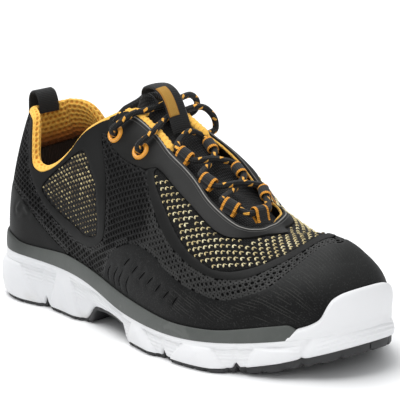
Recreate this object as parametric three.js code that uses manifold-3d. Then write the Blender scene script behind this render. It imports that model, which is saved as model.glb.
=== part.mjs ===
// Low-cut safety sneaker, right shoe, millimetres.
// +X runs from heel to toe, +Y to the inner (medial) side, +Z up; the sole stands on z = 0.
import * as THREE from "three";
import { mergeVertices } from "three/addons/utils/BufferGeometryUtils.js";
import Module from "manifold-3d";

const wasm = await Module();
wasm.setup();

// ---------------------------------------------------------------- driving sizes
const LENGTH = 300; // upper at the feather line, heel to toe
const WALL = 2.6; // upper: knit, film and lining together
const GAP = 0.3; // between pieces that meet
const HEEL_RUN = 40, HEEL_POWER = 2.3; // rounding of the outline at the heel
const TOE_RUN = 95, TOE_POWER = 2.4; // rounding of the outline at the toe
const RIDGE_BACK = 18, RIDGE_FRONT = 262; // where the instep ridge starts and ends
const LACE = 3.8, LACE_SIDES = 6; // lace diameter
const EYELET_OUT = 5.2, EYELET_BORE = 3.0;
const INSOLE = 4.6; // insole thickness
const ORIGIN = [149.351, -0.597, 0]; // bottom centre of the whole shoe

// Last: half width and middle line of the feather edge at each length station.
const LAST = {
  x: [0, 40, 80, 120, 160, 200, 230, 260, 300],
  half: [38.2, 39.0, 38.0, 39.5, 46.3, 52.8, 53.6, 49.9, 42.5],
  mid: [-0.7, -0.5, -1.6, -4.0, -4.3, -2.2, 0.9, 4.6, 6.3],
};
// Sole stack: zf feather line (top of the rand), zr top of the midsole.
const SOLE = {
  x: [0, 50, 100, 150, 200, 250, 300],
  zf: [41.0, 38.2, 36.2, 28.3, 23.7, 25.0, 32.5],
  zr: [30.2, 30.2, 27.8, 18.9, 16.6, 19.2, 27.0],
};
// Instep ridge, the line that both sides of the upper's form close on.
const RIDGE = {
  x: [0, 40, 80, 100, 120, 140, 160, 180, 200, 214, 226, 238, 250, 262, 300],
  y: [0, 0, 0, 0, 0.5, 1.0, 1.0, 1.0, 1.2, 1.6, 2.4, 3.6, 5.2, 7.0, 9.0],
  z: [152, 152, 149, 144, 137, 127, 115.5, 103, 91.5, 83, 74.6, 70.8, 72.2, 74.4, 66],
};
// Section shape: inward lean of the lateral and medial side, roundness of the top, swell low down.
const RIB = {
  x: [0, 50, 100, 150, 172, 192, 235, 262],
  lateral: [2.9, 1.8, 1.35, 1.3, 1.3, 1.3, 1.1, 0.78],
  medial: [2.9, 1.8, 1.45, 1.0, 1.05, 1.9, 1.9, 0.8],
  top: [1.0, 1.0, 1.0, 1.0, 0.98, 0.95, 0.87, 0.7],
  swell: [-2.8, 0.2, 0.5, 0.5, 1.1, 1.5, 2.0, 2.0],
};
// Collar line: height at each angle round the foot, 0 at the heel and 180 at the toe.
const COLLAR_LATERAL = {
  a: [0, 10, 20, 27.2, 32, 35.9, 40.5, 43.4, 45.3, 48.5, 51.6, 55.7, 59.2, 62.3, 64.1, 66.5, 70.5, 74.8, 78.1, 80.4, 83.8],
  z: [109.3, 110, 111, 111.8, 111.4, 108.8, 98.6, 89, 85.2, 83.5, 84.2, 88.1, 93.7, 100.6, 106.3, 112.2, 117.9, 122.5, 125.9, 126.7, 125.6],
};
const COLLAR_MEDIAL = {
  a: [0, 10, 20, 28, 34, 38.5, 41.5, 44, 46.5, 49.5, 52.5, 56, 59.5, 62.5, 64.5, 67, 70.5, 74.8, 78.1, 80.4, 83.8],
  z: [109.3, 110.2, 111.8, 113.4, 113.4, 110.2, 102.6, 94, 89.4, 87.5, 88, 91.5, 96.5, 103, 108.5, 113.5, 118.5, 122.8, 126, 126.7, 125.6],
};
// Throat opening in plan: lateral and medial edge at each length station.
const THROAT = {
  x: [104, 122, 133, 148, 160, 167, 176, 186, 198, 206, 213, 218, 222, 225, 228, 229.6],
  lateral: [-17, -14.5, -13.7, -14.2, -16.0, -16.4, -16.5, -17.4, -19.8, -20.6, -20.6, -20.2, -19.4, -18.2, -15.2, -11],
  medial: [12, 12, 12, 12, 12.8, 15.4, 18.4, 21.0, 23.7, 24.8, 22.0, 18.5, 13.5, 8.0, 1.5, -4],
};
// Toe guard of the midsole: height of its upper edge at each angle.
const GUARD = {
  a: [150.0, 155.2, 158.9, 161.5, 164.2, 169.9, 180.0, 190.1, 195.8, 198.5, 201.1, 204.8, 210.0],
  z: [29.4, 32.2, 35.7, 41.9, 46.2, 49.3, 50.6, 49.3, 46.2, 41.9, 35.7, 32.2, 29.4],
};
// Sole blocks: foot = the stretch on the ground, face = the stretch and height of the raised panel's top, ease = ramp of each end.
const BLOCKS_LATERAL = [
  { foot: [-20, 58], face: [-20, 36], top: 25, ease: [2, 3] },
  { foot: [64, 101], face: [76, 88], top: 29, ease: [3, 14] },
  { foot: [156, 193.5], face: [164, 172], top: 17, ease: [4, 2.5] },
  { foot: [199, 245.5], face: [216, 233], top: 15.5, ease: [2.5, 2.5] },
  { foot: [250.5, 280], face: [259, 278], top: 18.5, ease: [2.5, 2] },
  { foot: [283, 330], face: [284, 330], top: 24, ease: [2, 2] },
];
const BLOCKS_MEDIAL = [
  { foot: [-20, 56], face: [-20, 34], top: 25, ease: [2, 3] },
  { foot: [62, 97], face: [73, 85], top: 29, ease: [3, 14] },
  { foot: [150, 187.5], face: [158, 167], top: 17, ease: [5, 2.5] },
  { foot: [193, 238.5], face: [208, 226], top: 15.5, ease: [2.5, 2.5] },
  { foot: [243.5, 277], face: [252, 272], top: 18.5, ease: [2.5, 2] },
  { foot: [280, 330], face: [282, 330], top: 24, ease: [2, 2] },
];
// Underside between the blocks, and the step from the midsole's blocks down to the ground.
const UNDER = { x: [0, 61, 104, 118, 140, 154, 196, 248, 281, 300], z: [8, 8, 10, 13, 12.8, 10.5, 6.5, 7.4, 13.2, 18] };
const STEP = { x: [0, 100, 200, 240, 270, 300], z: [2.2, 2.2, 2.4, 2.8, 4.6, 5.4] };
// Lace loops at the throat: place and heading of each loop's fold, in plan.
const LOOPS = [
  { name: "lace_loop_lateral_1", x: 168.6, y: -11.6, z: 108.2, heading: -90, tab: 4.5 },
  { name: "lace_loop_lateral_2", x: 190.0, y: -12.4, z: 96.2, heading: -90, tab: 4.6 },
  { name: "lace_loop_lateral_3", x: 210.8, y: -13.4, z: 85.2, heading: -80, tab: 5.0 },
  { name: "lace_loop_front", x: 220.6, y: -1.6, z: 81.0, heading: 0, tab: 5.6 },
  { name: "lace_loop_medial_3", x: 206.6, y: 14.6, z: 86.6, heading: 76, tab: 7.0 },
  { name: "lace_loop_medial_2", x: 186.6, y: 12.6, z: 97.2, heading: 90, tab: 6.6 },
  { name: "lace_loop_medial_1", x: 165.8, y: 8.9, z: 109.4, heading: 90, tab: 4.2 },
];
// Eyelets: angle round the foot and height on the upper.
const EYELETS = [
  { name: "eyelet_lateral_1", a: 78.7, z: 114.8 },
  { name: "eyelet_lateral_2", a: 89.0, z: 108.2 },
  { name: "eyelet_medial_1", a: 281.3, z: 114.8 },
  { name: "eyelet_medial_2", a: 271.0, z: 108.2 },
];
// Pull loop of the tongue and of the heel: middle line of the strap, seen from the side.
const TONGUE_PULL = { x: [121.8, 122.4, 124.8, 129.0, 134.2, 139.4, 143.6, 147.0, 149.6, 151.0], z: [136.6, 139.5, 141.4, 142.0, 141.5, 138.8, 133.4, 126.4, 120.2, 116.8], width: 14, thick: 1.5, bow: 0.6 };
const HEEL_PULL = { x: [3.6, 4.9, 6.2, 7.0, 7.6, 9.4, 12.4, 15.6, 17.5, 18.2, 18.4], z: [91, 99, 107, 113, 118.4, 122.2, 123.4, 121.8, 118.0, 113.6, 110.2], width: 15, thick: 1.5, bow: 0 };

// ---------------------------------------------------------------- small maths
const clamp = (v, a, b) => Math.min(Math.max(v, a), b);
const lerp = (a, b, t) => a + (b - a) * t;
const rad = (d) => (d * Math.PI) / 180;
const smooth = (t) => { const c = clamp(t, 0, 1); return c * c * (3 - 2 * c); };

// Smooth curve through a table's column.
function tab(T, key, x, by = "x") {
  const tx = T[by], ty = T[key], n = tx.length;
  const m = ty.map((_, i) => (i === 0 ? (ty[1] - ty[0]) / (tx[1] - tx[0]) : i === n - 1 ? (ty[i] - ty[i - 1]) / (tx[i] - tx[i - 1]) : (ty[i + 1] - ty[i - 1]) / (tx[i + 1] - tx[i - 1])));
  let i = 0;
  while (i < n - 2 && x >= tx[i + 1]) i++;
  const h = tx[i + 1] - tx[i], t = clamp((x - tx[i]) / h, 0, 1), t2 = t * t, t3 = t2 * t;
  return (2 * t3 - 3 * t2 + 1) * ty[i] + (t3 - 2 * t2 + t) * h * m[i] + (3 * t2 - 2 * t3) * ty[i + 1] + (t3 - t2) * h * m[i + 1];
}

// ---------------------------------------------------------------- the last's own functions
// Feather outline: s runs 0 at the heel, pi at the toe, lateral side first.
function plan(s) {
  const x = (LENGTH / 2) * (1 - Math.cos(s));
  const a = clamp((HEEL_RUN - x) / HEEL_RUN, 0, 1), b = clamp((x - (LENGTH - TOE_RUN)) / TOE_RUN, 0, 1);
  const half = tab(LAST, "half", x) * (1 - a ** HEEL_POWER) ** (1 / HEEL_POWER) * (1 - b ** TOE_POWER) ** (1 / TOE_POWER);
  return [x, tab(LAST, "mid", x) - (Math.abs(Math.sin(s)) > 1e-9 ? Math.sign(Math.sin(s)) * half : 0)];
}
function outward(s) {
  const e = 1e-3, p = plan(s - e), q = plan(s + e), dx = q[0] - p[0], dy = q[1] - p[1], n = Math.hypot(dx, dy) + 1e-12;
  return [dy / n, -dx / n];
}
// Upper's form: v runs 0 at the feather line to 1 at the instep ridge; off moves it outwards.
function form(s, v, off = 0) {
  const [x, y] = plan(s), [nx, ny] = outward(s), zf = tab(SOLE, "zf", x);
  const c = (1 - Math.cos(s)) / 2, xr = lerp(RIDGE_BACK, RIDGE_FRONT, c), yr = tab(RIDGE, "y", xr), zr = tab(RIDGE, "z", xr);
  const th = (clamp(v, 0, 1) * Math.PI) / 2, w0 = (1 + Math.sin(s)) / 2, w = w0 * w0 * (3 - 2 * w0);
  const p = lerp(tab(RIB, "medial", xr), tab(RIB, "lateral", xr), w), q = tab(RIB, "top", xr);
  const a = 1 - Math.max(Math.cos(th), 0) ** p, b = Math.sin(th) ** q;
  const g = b < 0.75 ? tab(RIB, "swell", xr) * Math.sin((Math.PI * b) / 0.75) : 0;
  return [x + (xr - x) * a + nx * (g + off * (1 - a)), y + (yr - y) * a + ny * (g + off * (1 - a)), zf + (zr - zf) * b + off * b];
}
// v at a given height of the form.
function heightToV(s, z) {
  let lo = 0, hi = 1;
  for (let i = 0; i < 40; i++) { const m = (lo + hi) / 2; if (form(s, m)[2] < z) lo = m; else hi = m; }
  return (lo + hi) / 2;
}
// Side wall at a height: below the feather line it goes straight down into the sole.
function wallAt(s, z, off) {
  const [x, y] = plan(s), [nx, ny] = outward(s), zf = tab(SOLE, "zf", x);
  return z <= zf ? [x + nx * off, y + ny * off, z] : form(s, heightToV(s, z), off);
}
const zTop = (s) => tab(SOLE, "zr", plan(s)[0]);

// ---------------------------------------------------------------- mesh helpers
function bodyOf(points, faces) {
  const g = new THREE.BufferGeometry();
  g.setAttribute("position", new THREE.Float32BufferAttribute(points.flat(), 3));
  g.setIndex(faces.flat());
  return facingOut(g);
}
function volumeOf(g) {
  const p = g.attributes.position, idx = g.index, n = idx ? idx.count : p.count, at = (k) => (idx ? idx.getX(k) : k);
  const a = new THREE.Vector3(), b = new THREE.Vector3(), c = new THREE.Vector3();
  let v = 0;
  for (let k = 0; k < n; k += 3) { a.fromBufferAttribute(p, at(k)); b.fromBufferAttribute(p, at(k + 1)); c.fromBufferAttribute(p, at(k + 2)); v += a.dot(b.cross(c)); }
  return v / 6;
}
function facingOut(g) {
  if (volumeOf(g) < 0) { const a = g.index.array; for (let i = 0; i < a.length; i += 3) [a[i + 1], a[i + 2]] = [a[i + 2], a[i + 1]]; }
  return g;
}
// Rings of equal count, first and last closed across from side to side.
function rings(list) {
  const n = list[0].length, F = [];
  for (let r = 0; r + 1 < list.length; r++) for (let i = 0; i < n; i++) { const j = (i + 1) % n, a = r * n + i, b = r * n + j, c = a + n, d = b + n; F.push([a, b, d], [a, d, c]); }
  const cap = (base, flip) => {
    for (let i = 0; i < n / 2; i++) {
      const a = base + i, b = base + i + 1, c = base + ((n - i - 1) % n), d = base + ((n - i) % n);
      const t = [];
      if (b !== c) t.push([a, b, c]);
      if (a !== d && !(i === 0)) t.push([a, c, d]);
      for (const f of t) F.push(flip ? [f[0], f[2], f[1]] : f);
    }
  };
  cap(0, true); // ring 0 seen from outside
  cap((list.length - 1) * n, false);
  return bodyOf(list.flat(), F);
}
// Form closed on the ridge: the last ring folds onto itself.
function domed(list) {
  const n = list[0].length, F = [], R = list.length;
  const id = (r, i) => { i = (i + n) % n; return r === R - 1 && i > n / 2 ? r * n + (n - i) : r * n + i; };
  for (let r = 0; r + 1 < R; r++) for (let i = 0; i < n; i++) {
    const a = id(r, i), b = id(r, i + 1), c = id(r + 1, i), d = id(r + 1, i + 1);
    F.push([a, b, d]);
    if (c !== d) F.push([a, d, c]);
  }
  for (let i = 0; i < n / 2; i++) { const a = i, b = i + 1, c = (n - i - 1) % n, d = (n - i) % n; if (b !== c) F.push([a, c, b]); if (i) F.push([a, d, c]); }
  return weld(bodyOf(list.flat(), F));
}
// Two matching grids closed round their borders.
function shell(outer, inner) {
  const R = outer.length, C = outer[0].length, F = [], o = (r, c) => r * C + c, i = (r, c) => R * C + r * C + c;
  for (let r = 0; r + 1 < R; r++) for (let c = 0; c + 1 < C; c++) {
    F.push([o(r, c), o(r, c + 1), o(r + 1, c + 1)], [o(r, c), o(r + 1, c + 1), o(r + 1, c)]);
    F.push([i(r, c), i(r + 1, c + 1), i(r, c + 1)], [i(r, c), i(r + 1, c), i(r + 1, c + 1)]);
  }
  const edge = (a, b, c, d) => F.push([a, b, c], [a, c, d]);
  for (let c = 0; c + 1 < C; c++) { edge(o(0, c + 1), o(0, c), i(0, c), i(0, c + 1)); edge(o(R - 1, c), o(R - 1, c + 1), i(R - 1, c + 1), i(R - 1, c)); }
  for (let r = 0; r + 1 < R; r++) { edge(o(r, 0), o(r + 1, 0), i(r + 1, 0), i(r, 0)); edge(o(r + 1, C - 1), o(r, C - 1), i(r, C - 1), i(r + 1, C - 1)); }
  return bodyOf([...outer.flat(), ...inner.flat()], F);
}
// Closed sections carried along a path, with both ends capped from their own outline.
function carried(sections, outline) {
  const n = outline.length, m = sections.length, F = [];
  for (let r = 0; r + 1 < m; r++) for (let i = 0; i < n; i++) { const j = (i + 1) % n, a = r * n + i, b = r * n + j; F.push([a, b, b + n], [a, b + n, a + n]); }
  const caps = THREE.ShapeUtils.triangulateShape(outline.map(([x, y]) => new THREE.Vector2(x, y)), []);
  const ccw = THREE.ShapeUtils.area(outline.map(([x, y]) => new THREE.Vector2(x, y))) > 0;
  for (const [a, b, c] of caps) { F.push(ccw ? [a, c, b] : [a, b, c]); F.push(ccw ? [a + (m - 1) * n, b + (m - 1) * n, c + (m - 1) * n] : [a + (m - 1) * n, c + (m - 1) * n, b + (m - 1) * n]); }
  return bodyOf(sections.flat(), F);
}
function weld(g) {
  const h = g.clone();
  for (const k of Object.keys(h.attributes)) if (k !== "position") h.deleteAttribute(k);
  return mergeVertices(h, 1e-4);
}
const solid = (g) => { const w = weld(g); return new wasm.Manifold(new wasm.Mesh({ numProp: 3, vertProperties: new Float32Array(w.attributes.position.array), triVerts: new Uint32Array(w.index.array) })); };
function toGeometry(man) {
  const m = man.getMesh(), g = new THREE.BufferGeometry(), k = m.numProp, n = m.vertProperties.length / k, P = new Float32Array(n * 3);
  for (let i = 0; i < n; i++) for (let j = 0; j < 3; j++) P[3 * i + j] = m.vertProperties[k * i + j];
  g.setAttribute("position", new THREE.BufferAttribute(P, 3));
  g.setIndex(Array.from(m.triVerts));
  return g;
}
const turned = (g, m) => { const h = g.clone(); h.applyMatrix4(m); return h; };
const V = (p) => new THREE.Vector3(...p);

// ---------------------------------------------------------------- stations
const TURN = 2 * Math.PI;
const around = (n) => Array.from({ length: n }, (_, i) => (i * TURN) / n);
const UPPER_TURN = 64;
const LEVELS = [0, 0.08, 0.165, 0.25, 0.34, 0.43, 0.52, 0.61, 0.70, 0.79, 0.89, 1];

// ---------------------------------------------------------------- upper
function formSolid(off, below) {
  const S = around(UPPER_TURN);
  const list = [S.map((s) => { const [x, y] = plan(s), [nx, ny] = outward(s); return [x + nx * off, y + ny * off, zTop(s) - below]; })];
  for (const v of LEVELS) list.push(S.map((s) => form(s, v, off)));
  return solid(domed(list));
}
function collarLine(side) {
  const T = side < 0 ? COLLAR_LATERAL : COLLAR_MEDIAL, out = [];
  for (let i = 0; i < T.a.length; i++) {
    const s = side < 0 ? rad(T.a[i]) : TURN - rad(T.a[i]), v = heightToV(s, T.z[i]);
    out.push({ s, v, p: form(s, v) });
  }
  return out;
}
function collarCutter(side) {
  const line = collarLine(side).map((q) => new THREE.Vector2(q.p[0], q.p[2]));
  const shape = new THREE.Shape([new THREE.Vector2(-30, line[0].y), ...line, new THREE.Vector2(133.5, 124.5), new THREE.Vector2(140, 175), new THREE.Vector2(-30, 175)]);
  const g = new THREE.ExtrudeGeometry(shape, { depth: 90, bevelEnabled: false });
  g.rotateX(Math.PI / 2); // the shape's y becomes z, its depth goes to -y
  g.translate(0, side < 0 ? 0.01 : 90, 0);
  return solid(g);
}
function throatCutter() {
  const n = THROAT.x.length, pts = [];
  for (let i = 0; i < n; i++) pts.push(new THREE.Vector2(THROAT.x[i], THROAT.lateral[i]));
  for (let i = n - 1; i >= 0; i--) pts.push(new THREE.Vector2(THROAT.x[i], THROAT.medial[i]));
  const g = new THREE.ExtrudeGeometry(new THREE.Shape(pts), { depth: 115, bevelEnabled: false });
  g.translate(0, 0, 60);
  return solid(g);
}
function frameOnForm(a, z) {
  const s = rad(a), v = heightToV(s, z), e = 1e-3;
  const p = V(form(s, v)), ds = V(form(s + e, v)).sub(V(form(s - e, v))), dv = V(form(s, v + e)).sub(V(form(s, v - e)));
  const n = new THREE.Vector3().crossVectors(ds, dv).normalize();
  if (n.y * (s < Math.PI ? -1 : 1) < 0) n.negate();
  return { p, n };
}
function placed(g, p, n) {
  const q = new THREE.Quaternion().setFromUnitVectors(new THREE.Vector3(0, 1, 0), n);
  return turned(g, new THREE.Matrix4().compose(p, q, new THREE.Vector3(1, 1, 1)));
}
let upper = formSolid(0, -GAP - 0.15).subtract(formSolid(-WALL, 6));
upper = upper.subtract(collarCutter(-1)).subtract(collarCutter(1)).subtract(throatCutter());
for (const e of EYELETS) {
  const { p, n } = frameOnForm(e.a, e.z);
  upper = upper.subtract(solid(placed(new THREE.CylinderGeometry(EYELET_BORE + 1.4, EYELET_BORE + 1.4, 16, 14), p, n)));
}

// ---------------------------------------------------------------- sole
const ground = (x) => 13.5 * clamp((x - 228) / 72, 0, 1.4) ** 2 + 2.2 * clamp((14 - x) / 14, 0, 1.6) ** 2;
const blocksOf = (s) => (Math.sin(s) >= 0 ? BLOCKS_LATERAL : BLOCKS_MEDIAL);
const footing = (x, B) => Math.max(...B.map((b) => Math.min(smooth((x - b.foot[0] + b.ease[0]) / b.ease[0]), smooth((b.foot[1] + b.ease[1] - x) / b.ease[1]))));
function paneling(x, z, B) {
  let m = 0;
  for (const b of B) {
    const t = clamp(z / b.top, 0, 1), lo = lerp(b.foot[0] + 1, b.face[0], t), hi = lerp(b.foot[1] - 1, b.face[1], t);
    m = Math.max(m, Math.min(smooth((x - lo) / 3 + 0.5), smooth((hi - x) / 3 + 0.5), smooth((b.top - z) / 3)));
  }
  return m;
}
const blockBottom = (x) => ground(x) + tab(STEP, "z", x);
const bottomOf = (x, B) => lerp(tab(UNDER, "z", x), blockBottom(x), footing(x, B));
function sideOffset(x, z, t, B) {
  const heel = smooth((70 - x) / 60), toe = smooth((x - 262) / 30);
  const base = 2.4 + (1.5 + 2.2 * heel) * Math.sin(Math.PI * Math.min(t * 0.75, 1)) ** 1.2;
  return base - 2.0 * (1 - toe) * (1 - paneling(x, z, B)) * smooth((t - 0.1) / 0.2) + 0.6 * toe;
}
function soleStations() {
  const c = new Set();
  for (let i = 0; i <= 26; i++) c.add(+((LENGTH / 2) * (1 - Math.cos((i * Math.PI) / 26))).toFixed(3));
  for (const B of [BLOCKS_LATERAL, BLOCKS_MEDIAL]) for (const b of B) for (const x of [b.foot[0] - b.ease[0], b.foot[0], b.foot[1], b.foot[1] + b.ease[1], b.face[0], b.face[1]]) if (x > 3 && x < 297) c.add(x);
  const keep = new Set(); // middle of each groove between two blocks
  for (const B of [BLOCKS_LATERAL, BLOCKS_MEDIAL]) for (let i = 0; i + 1 < B.length; i++) if (B[i + 1].foot[0] - B[i].foot[1] < 12) keep.add((B[i].foot[1] + B[i].ease[1] + B[i + 1].foot[0] - B[i + 1].ease[0]) / 2);
  const near = (x, l, d) => [...l].some((k) => Math.abs(k - x) < d);
  const kept = [...keep], xs = [];
  for (const x of [...c].filter((x) => x === 0 || x === LENGTH || !near(x, kept, 1.2)).concat(kept).sort((a, b) => a - b)) if (xs.length === 0 || x === LENGTH || kept.includes(x) || x - xs[xs.length - 1] > 2.0) xs.push(x);
  const half = xs.map((x) => Math.acos(clamp(1 - (2 * x) / LENGTH, -1, 1)));
  return [...half, ...half.slice(1, -1).reverse().map((s) => TURN - s)];
}
const SOLE_S = soleStations();
const plus = (s, off, z) => { const [x, y] = plan(s), [nx, ny] = outward(s); return [x + nx * off, y + ny * off, z]; };
function midsoleBlocks() {
  const T = [0, 0.1, 0.3, 0.58, 0.88, 1];
  const list = T.map((t) => SOLE_S.map((s) => {
    const x = plan(s)[0], B = blocksOf(s), z = lerp(zTop(s), bottomOf(x, B), t);
    return plus(s, sideOffset(x, z, t, B) - (t === 1 ? 1.2 : 0), z);
  }));
  return solid(rings(list));
}
// Toe guard: cut between a larger and a smaller form of the upper's own function.
function toeGuard() {
  const cols = [];
  for (let a = 150.4; a <= 209.6 + 1e-6; a += 59.2 / 20) cols.push(a);
  const rows = [0, 0.16, 0.32, 0.5, 0.68, 0.84, 0.95, 1];
  const grid = (o) => rows.map((w) => cols.map((a) => {
    const s = rad(a), z0 = zTop(s) - 1.6, z1 = tab(GUARD, "z", a, "a"), off = o ? lerp(3.3, 1.4, smooth((w - 0.82) / 0.18)) : 0.4;
    return wallAt(s, lerp(z0, z1, w), off);
  }));
  return solid(shell(grid(true), grid(false)));
}
const midsole = midsoleBlocks().add(toeGuard());

function outsoleSolid() {
  const top = SOLE_S.map((s) => { const x = plan(s)[0], B = blocksOf(s), z = bottomOf(x, B); return plus(s, sideOffset(x, z, 1, B) - 1.2, z - GAP - 0.1); });
  const low = (inset, lift) => SOLE_S.map((s) => {
    const x = plan(s)[0], B = blocksOf(s), f = footing(x, B), zb = bottomOf(x, B), z0 = lerp(zb - GAP - 2.4, ground(x), f);
    return plus(s, sideOffset(x, zb, 1, B) - inset, lerp(z0, zb - GAP, lift));
  });
  return rings([top, low(1.4, 0.4), low(2.4, 0)]);
}

// Rand: the grey band between midsole and upper, open where the toe guard starts.
function randBody() {
  const a1 = 149.4, n = 56, secs = [];
  const outline = [[0.45, 0], [2.5, 0], [1.6, 1], [0.45, 1]];
  for (let i = 0; i <= n; i++) {
    const a = -a1 + (2 * a1 * i) / n, s = rad(a), x = plan(s)[0], z0 = tab(SOLE, "zr", x) + GAP, z1 = tab(SOLE, "zf", x) + 0.2;
    const end = smooth((a1 + 5 - Math.abs(a)) / 10);
    secs.push(outline.map(([o, h]) => plus(s, o, lerp(z0, lerp(z0 + 0.6, z1, end), h))));
  }
  return carried(secs, outline);
}
function insoleBody() {
  const S = around(52), off = -WALL - 0.6;
  const ring = (d, lift) => S.map((s) => plus(s, off - d, zTop(s) + GAP + 0.15 + lift));
  return rings([ring(0, 0), ring(0, INSOLE - 1.2), ring(1.4, INSOLE)]);
}

// ---------------------------------------------------------------- collar lining
// Place on the form moved by off that lies over the point (x, z) of the side view.
function over(x, z, off, s0, v0) {
  let s = s0, v = v0;
  for (let i = 0; i < 12; i++) {
    const p = form(s, v, off), e = 1e-4, a = form(s + e, v, off), b = form(s, v + e, off);
    const xs = (a[0] - p[0]) / e, zs = (a[2] - p[2]) / e, xv = (b[0] - p[0]) / e, zv = (b[2] - p[2]) / e, det = xs * zv - xv * zs;
    const dx = x - p[0], dz = z - p[2];
    s += clamp((dx * zv - xv * dz) / det, -0.1, 0.1);
    v += clamp((xs * dz - zs * dx) / det, -0.1, 0.1);
  }
  return { s, v };
}
function level(s, z, off) { // same, at a fixed angle
  let lo = 0, hi = 1;
  for (let i = 0; i < 40; i++) { const m = (lo + hi) / 2; if (form(s, m, off)[2] < z) lo = m; else hi = m; }
  return { s, v: (lo + hi) / 2 };
}
function liningBody() {
  const lateral = collarLine(-1), medial = collarLine(1);
  const line = [...lateral.slice(0, -1).reverse(), ...medial.slice(1, -1)];
  const outline = [[-0.2, 0.35], [-0.5, 2.3], [-3.3, 3.6], [-6.2, 2.4], [-7.6, -2.5], [-7.2, -12], [-5.6, -22], [-3.3, -24], [-3.3, -10], [-3.3, 0.35]];
  const secs = line.map((q) => {
    const e = 1e-3, d = V(form(q.s, q.v + e)).distanceTo(V(form(q.s, q.v - e))) / (2 * e), a = Math.min(q.s, TURN - q.s);
    const ahead = smooth((a - 0.85) / 0.45), thin = lerp(1, 0.5, ahead), deep = lerp(1, 0.28, ahead);
    return outline.map(([o, h]) => {
      const off = o < -3.3 ? -3.3 + (o + 3.3) * thin : o, r = a < rad(24) ? level(q.s, q.p[2], off) : over(q.p[0], q.p[2], off, q.s, q.v);
      return form(r.s, r.v + (h < 0 ? h * deep : h * lerp(1, 0.5, ahead) + 1.1 * smooth((rad(34) - a) / 0.2)) / d, off);
    });
  });
  return carried(secs, outline);
}

// ---------------------------------------------------------------- tongue
const RIDGE_TO_S = (x) => Math.acos(clamp(1 - (2 * (x - RIDGE_BACK)) / (RIDGE_FRONT - RIDGE_BACK), -1, 1));
function tongueBody() {
  const xs = [116.5, 118.5, 123, 131, 139, 147, 154, 162, 174, 188, 202, 215, 226, 236];
  const vs = [0.48, 0.6, 0.71, 0.81, 0.9, 1];
  const layer = (d) => xs.map((x, k) => {
    const narrow = [0.3, 0.16, 0.05][k] ?? 0, row = [], s = RIDGE_TO_S(x);
    const at = (side, v) => { // sunk under the collar's front, puffed up in the middle of its upper end
      const low = smooth((0.9 - v) / 0.14) * smooth((152 - x) / 20), puff = smooth((124 - x) / 6) * smooth((v - 0.84) / 0.1);
      return form(side < 0 ? s : TURN - s, v, -WALL - 0.7 - 3.5 * low + 1.8 * puff - 3.4 * smooth((x - 138) / 14) - 1.4 * smooth((x - 150) / 14) - d * (k === 0 ? 0.75 : 1));
    };
    for (const v of vs) row.push(at(-1, lerp(v, 1, narrow)));
    for (const v of vs.slice(0, -1).reverse()) row.push(at(1, lerp(v, 1, narrow)));
    return row;
  });
  return shell(layer(0), layer(4.2));
}

// ---------------------------------------------------------------- straps, loops and laces
// Flat strap: middle line in the XZ plane, width along Y.
function strap(T, yMid) {
  const pts = T.x.map((x, i) => new THREE.Vector3(x, 0, T.z[i])), curve = new THREE.CatmullRomCurve3(pts, false, "centripetal");
  const n = 14, a = [], b = [];
  for (let i = 0; i <= n; i++) {
    const p = curve.getPointAt(i / n), t = curve.getTangentAt(i / n), nx = -t.z, nz = t.x, h = T.thick / 2;
    a.push([p.x + nx * h, p.z + nz * h]);
    b.push([p.x - nx * h, p.z - nz * h]);
  }
  const across = T.bow ? [-0.5, -0.27, 0, 0.27, 0.5] : [-0.5, 0, 0.5];
  const lay = (l) => l.map(([x, z]) => across.map((f) => [x, f * T.width + yMid, z - T.bow * (2 * f) ** 2 * smooth((x - 117) / 8)]));
  return shell(lay(a), lay(b));
}
// Lace loop: folded webbing, a round fold for the lace and two layers that run back to the throat's edge.
const LOOP_WIDTH = 8.5, FOLD_OUT = 3.4, FOLD_IN = 2.6;
function loopBody(q) {
  const shape = new THREE.Shape();
  shape.moveTo(q.tab, -2.9);
  shape.lineTo(q.tab, -0.7);
  shape.lineTo(3.1, 1.4);
  shape.absarc(0, 0, FOLD_OUT, rad(25), rad(300), false);
  shape.lineTo(q.tab, -2.9);
  const hole = new THREE.Path();
  hole.absarc(0, 0, FOLD_IN, 0, TURN, true);
  shape.holes.push(hole);
  const g = new THREE.ExtrudeGeometry(shape, { depth: LOOP_WIDTH, bevelEnabled: false, curveSegments: 5 });
  g.translate(0, 0, -LOOP_WIDTH / 2);
  return g;
}
// Axis of a loop's fold: along the throat's edge, following the slope of the instep.
function loopFrame(q) {
  const h = rad(q.heading), out = new THREE.Vector3(Math.cos(h), Math.sin(h), 0);
  const e = 4, slope = (tab(RIDGE, "z", q.x + e) - tab(RIDGE, "z", q.x - e)) / (2 * e);
  const side = new THREE.Vector3(-Math.sin(h), Math.cos(h), 0);
  const axis = new THREE.Vector3(side.x, side.y, side.x * slope).normalize();
  const tabDir = out.clone().setZ(out.x * slope - Math.abs(out.y) * 0.42 - 0.1 * Math.abs(out.x)).normalize();
  const up = new THREE.Vector3().crossVectors(axis, tabDir).normalize();
  if (up.z < 0) { up.negate(); }
  const zAxis = new THREE.Vector3().crossVectors(tabDir, up).normalize();
  return { tabDir, up: new THREE.Vector3().crossVectors(zAxis, tabDir).normalize(), axis: zAxis };
}
const loopParts = LOOPS.map((q) => {
  const f = loopFrame(q), m = new THREE.Matrix4().makeBasis(f.tabDir, f.up, f.axis).setPosition(q.x, q.y, q.z);
  return [q.name, turned(loopBody(q), m)];
});

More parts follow.
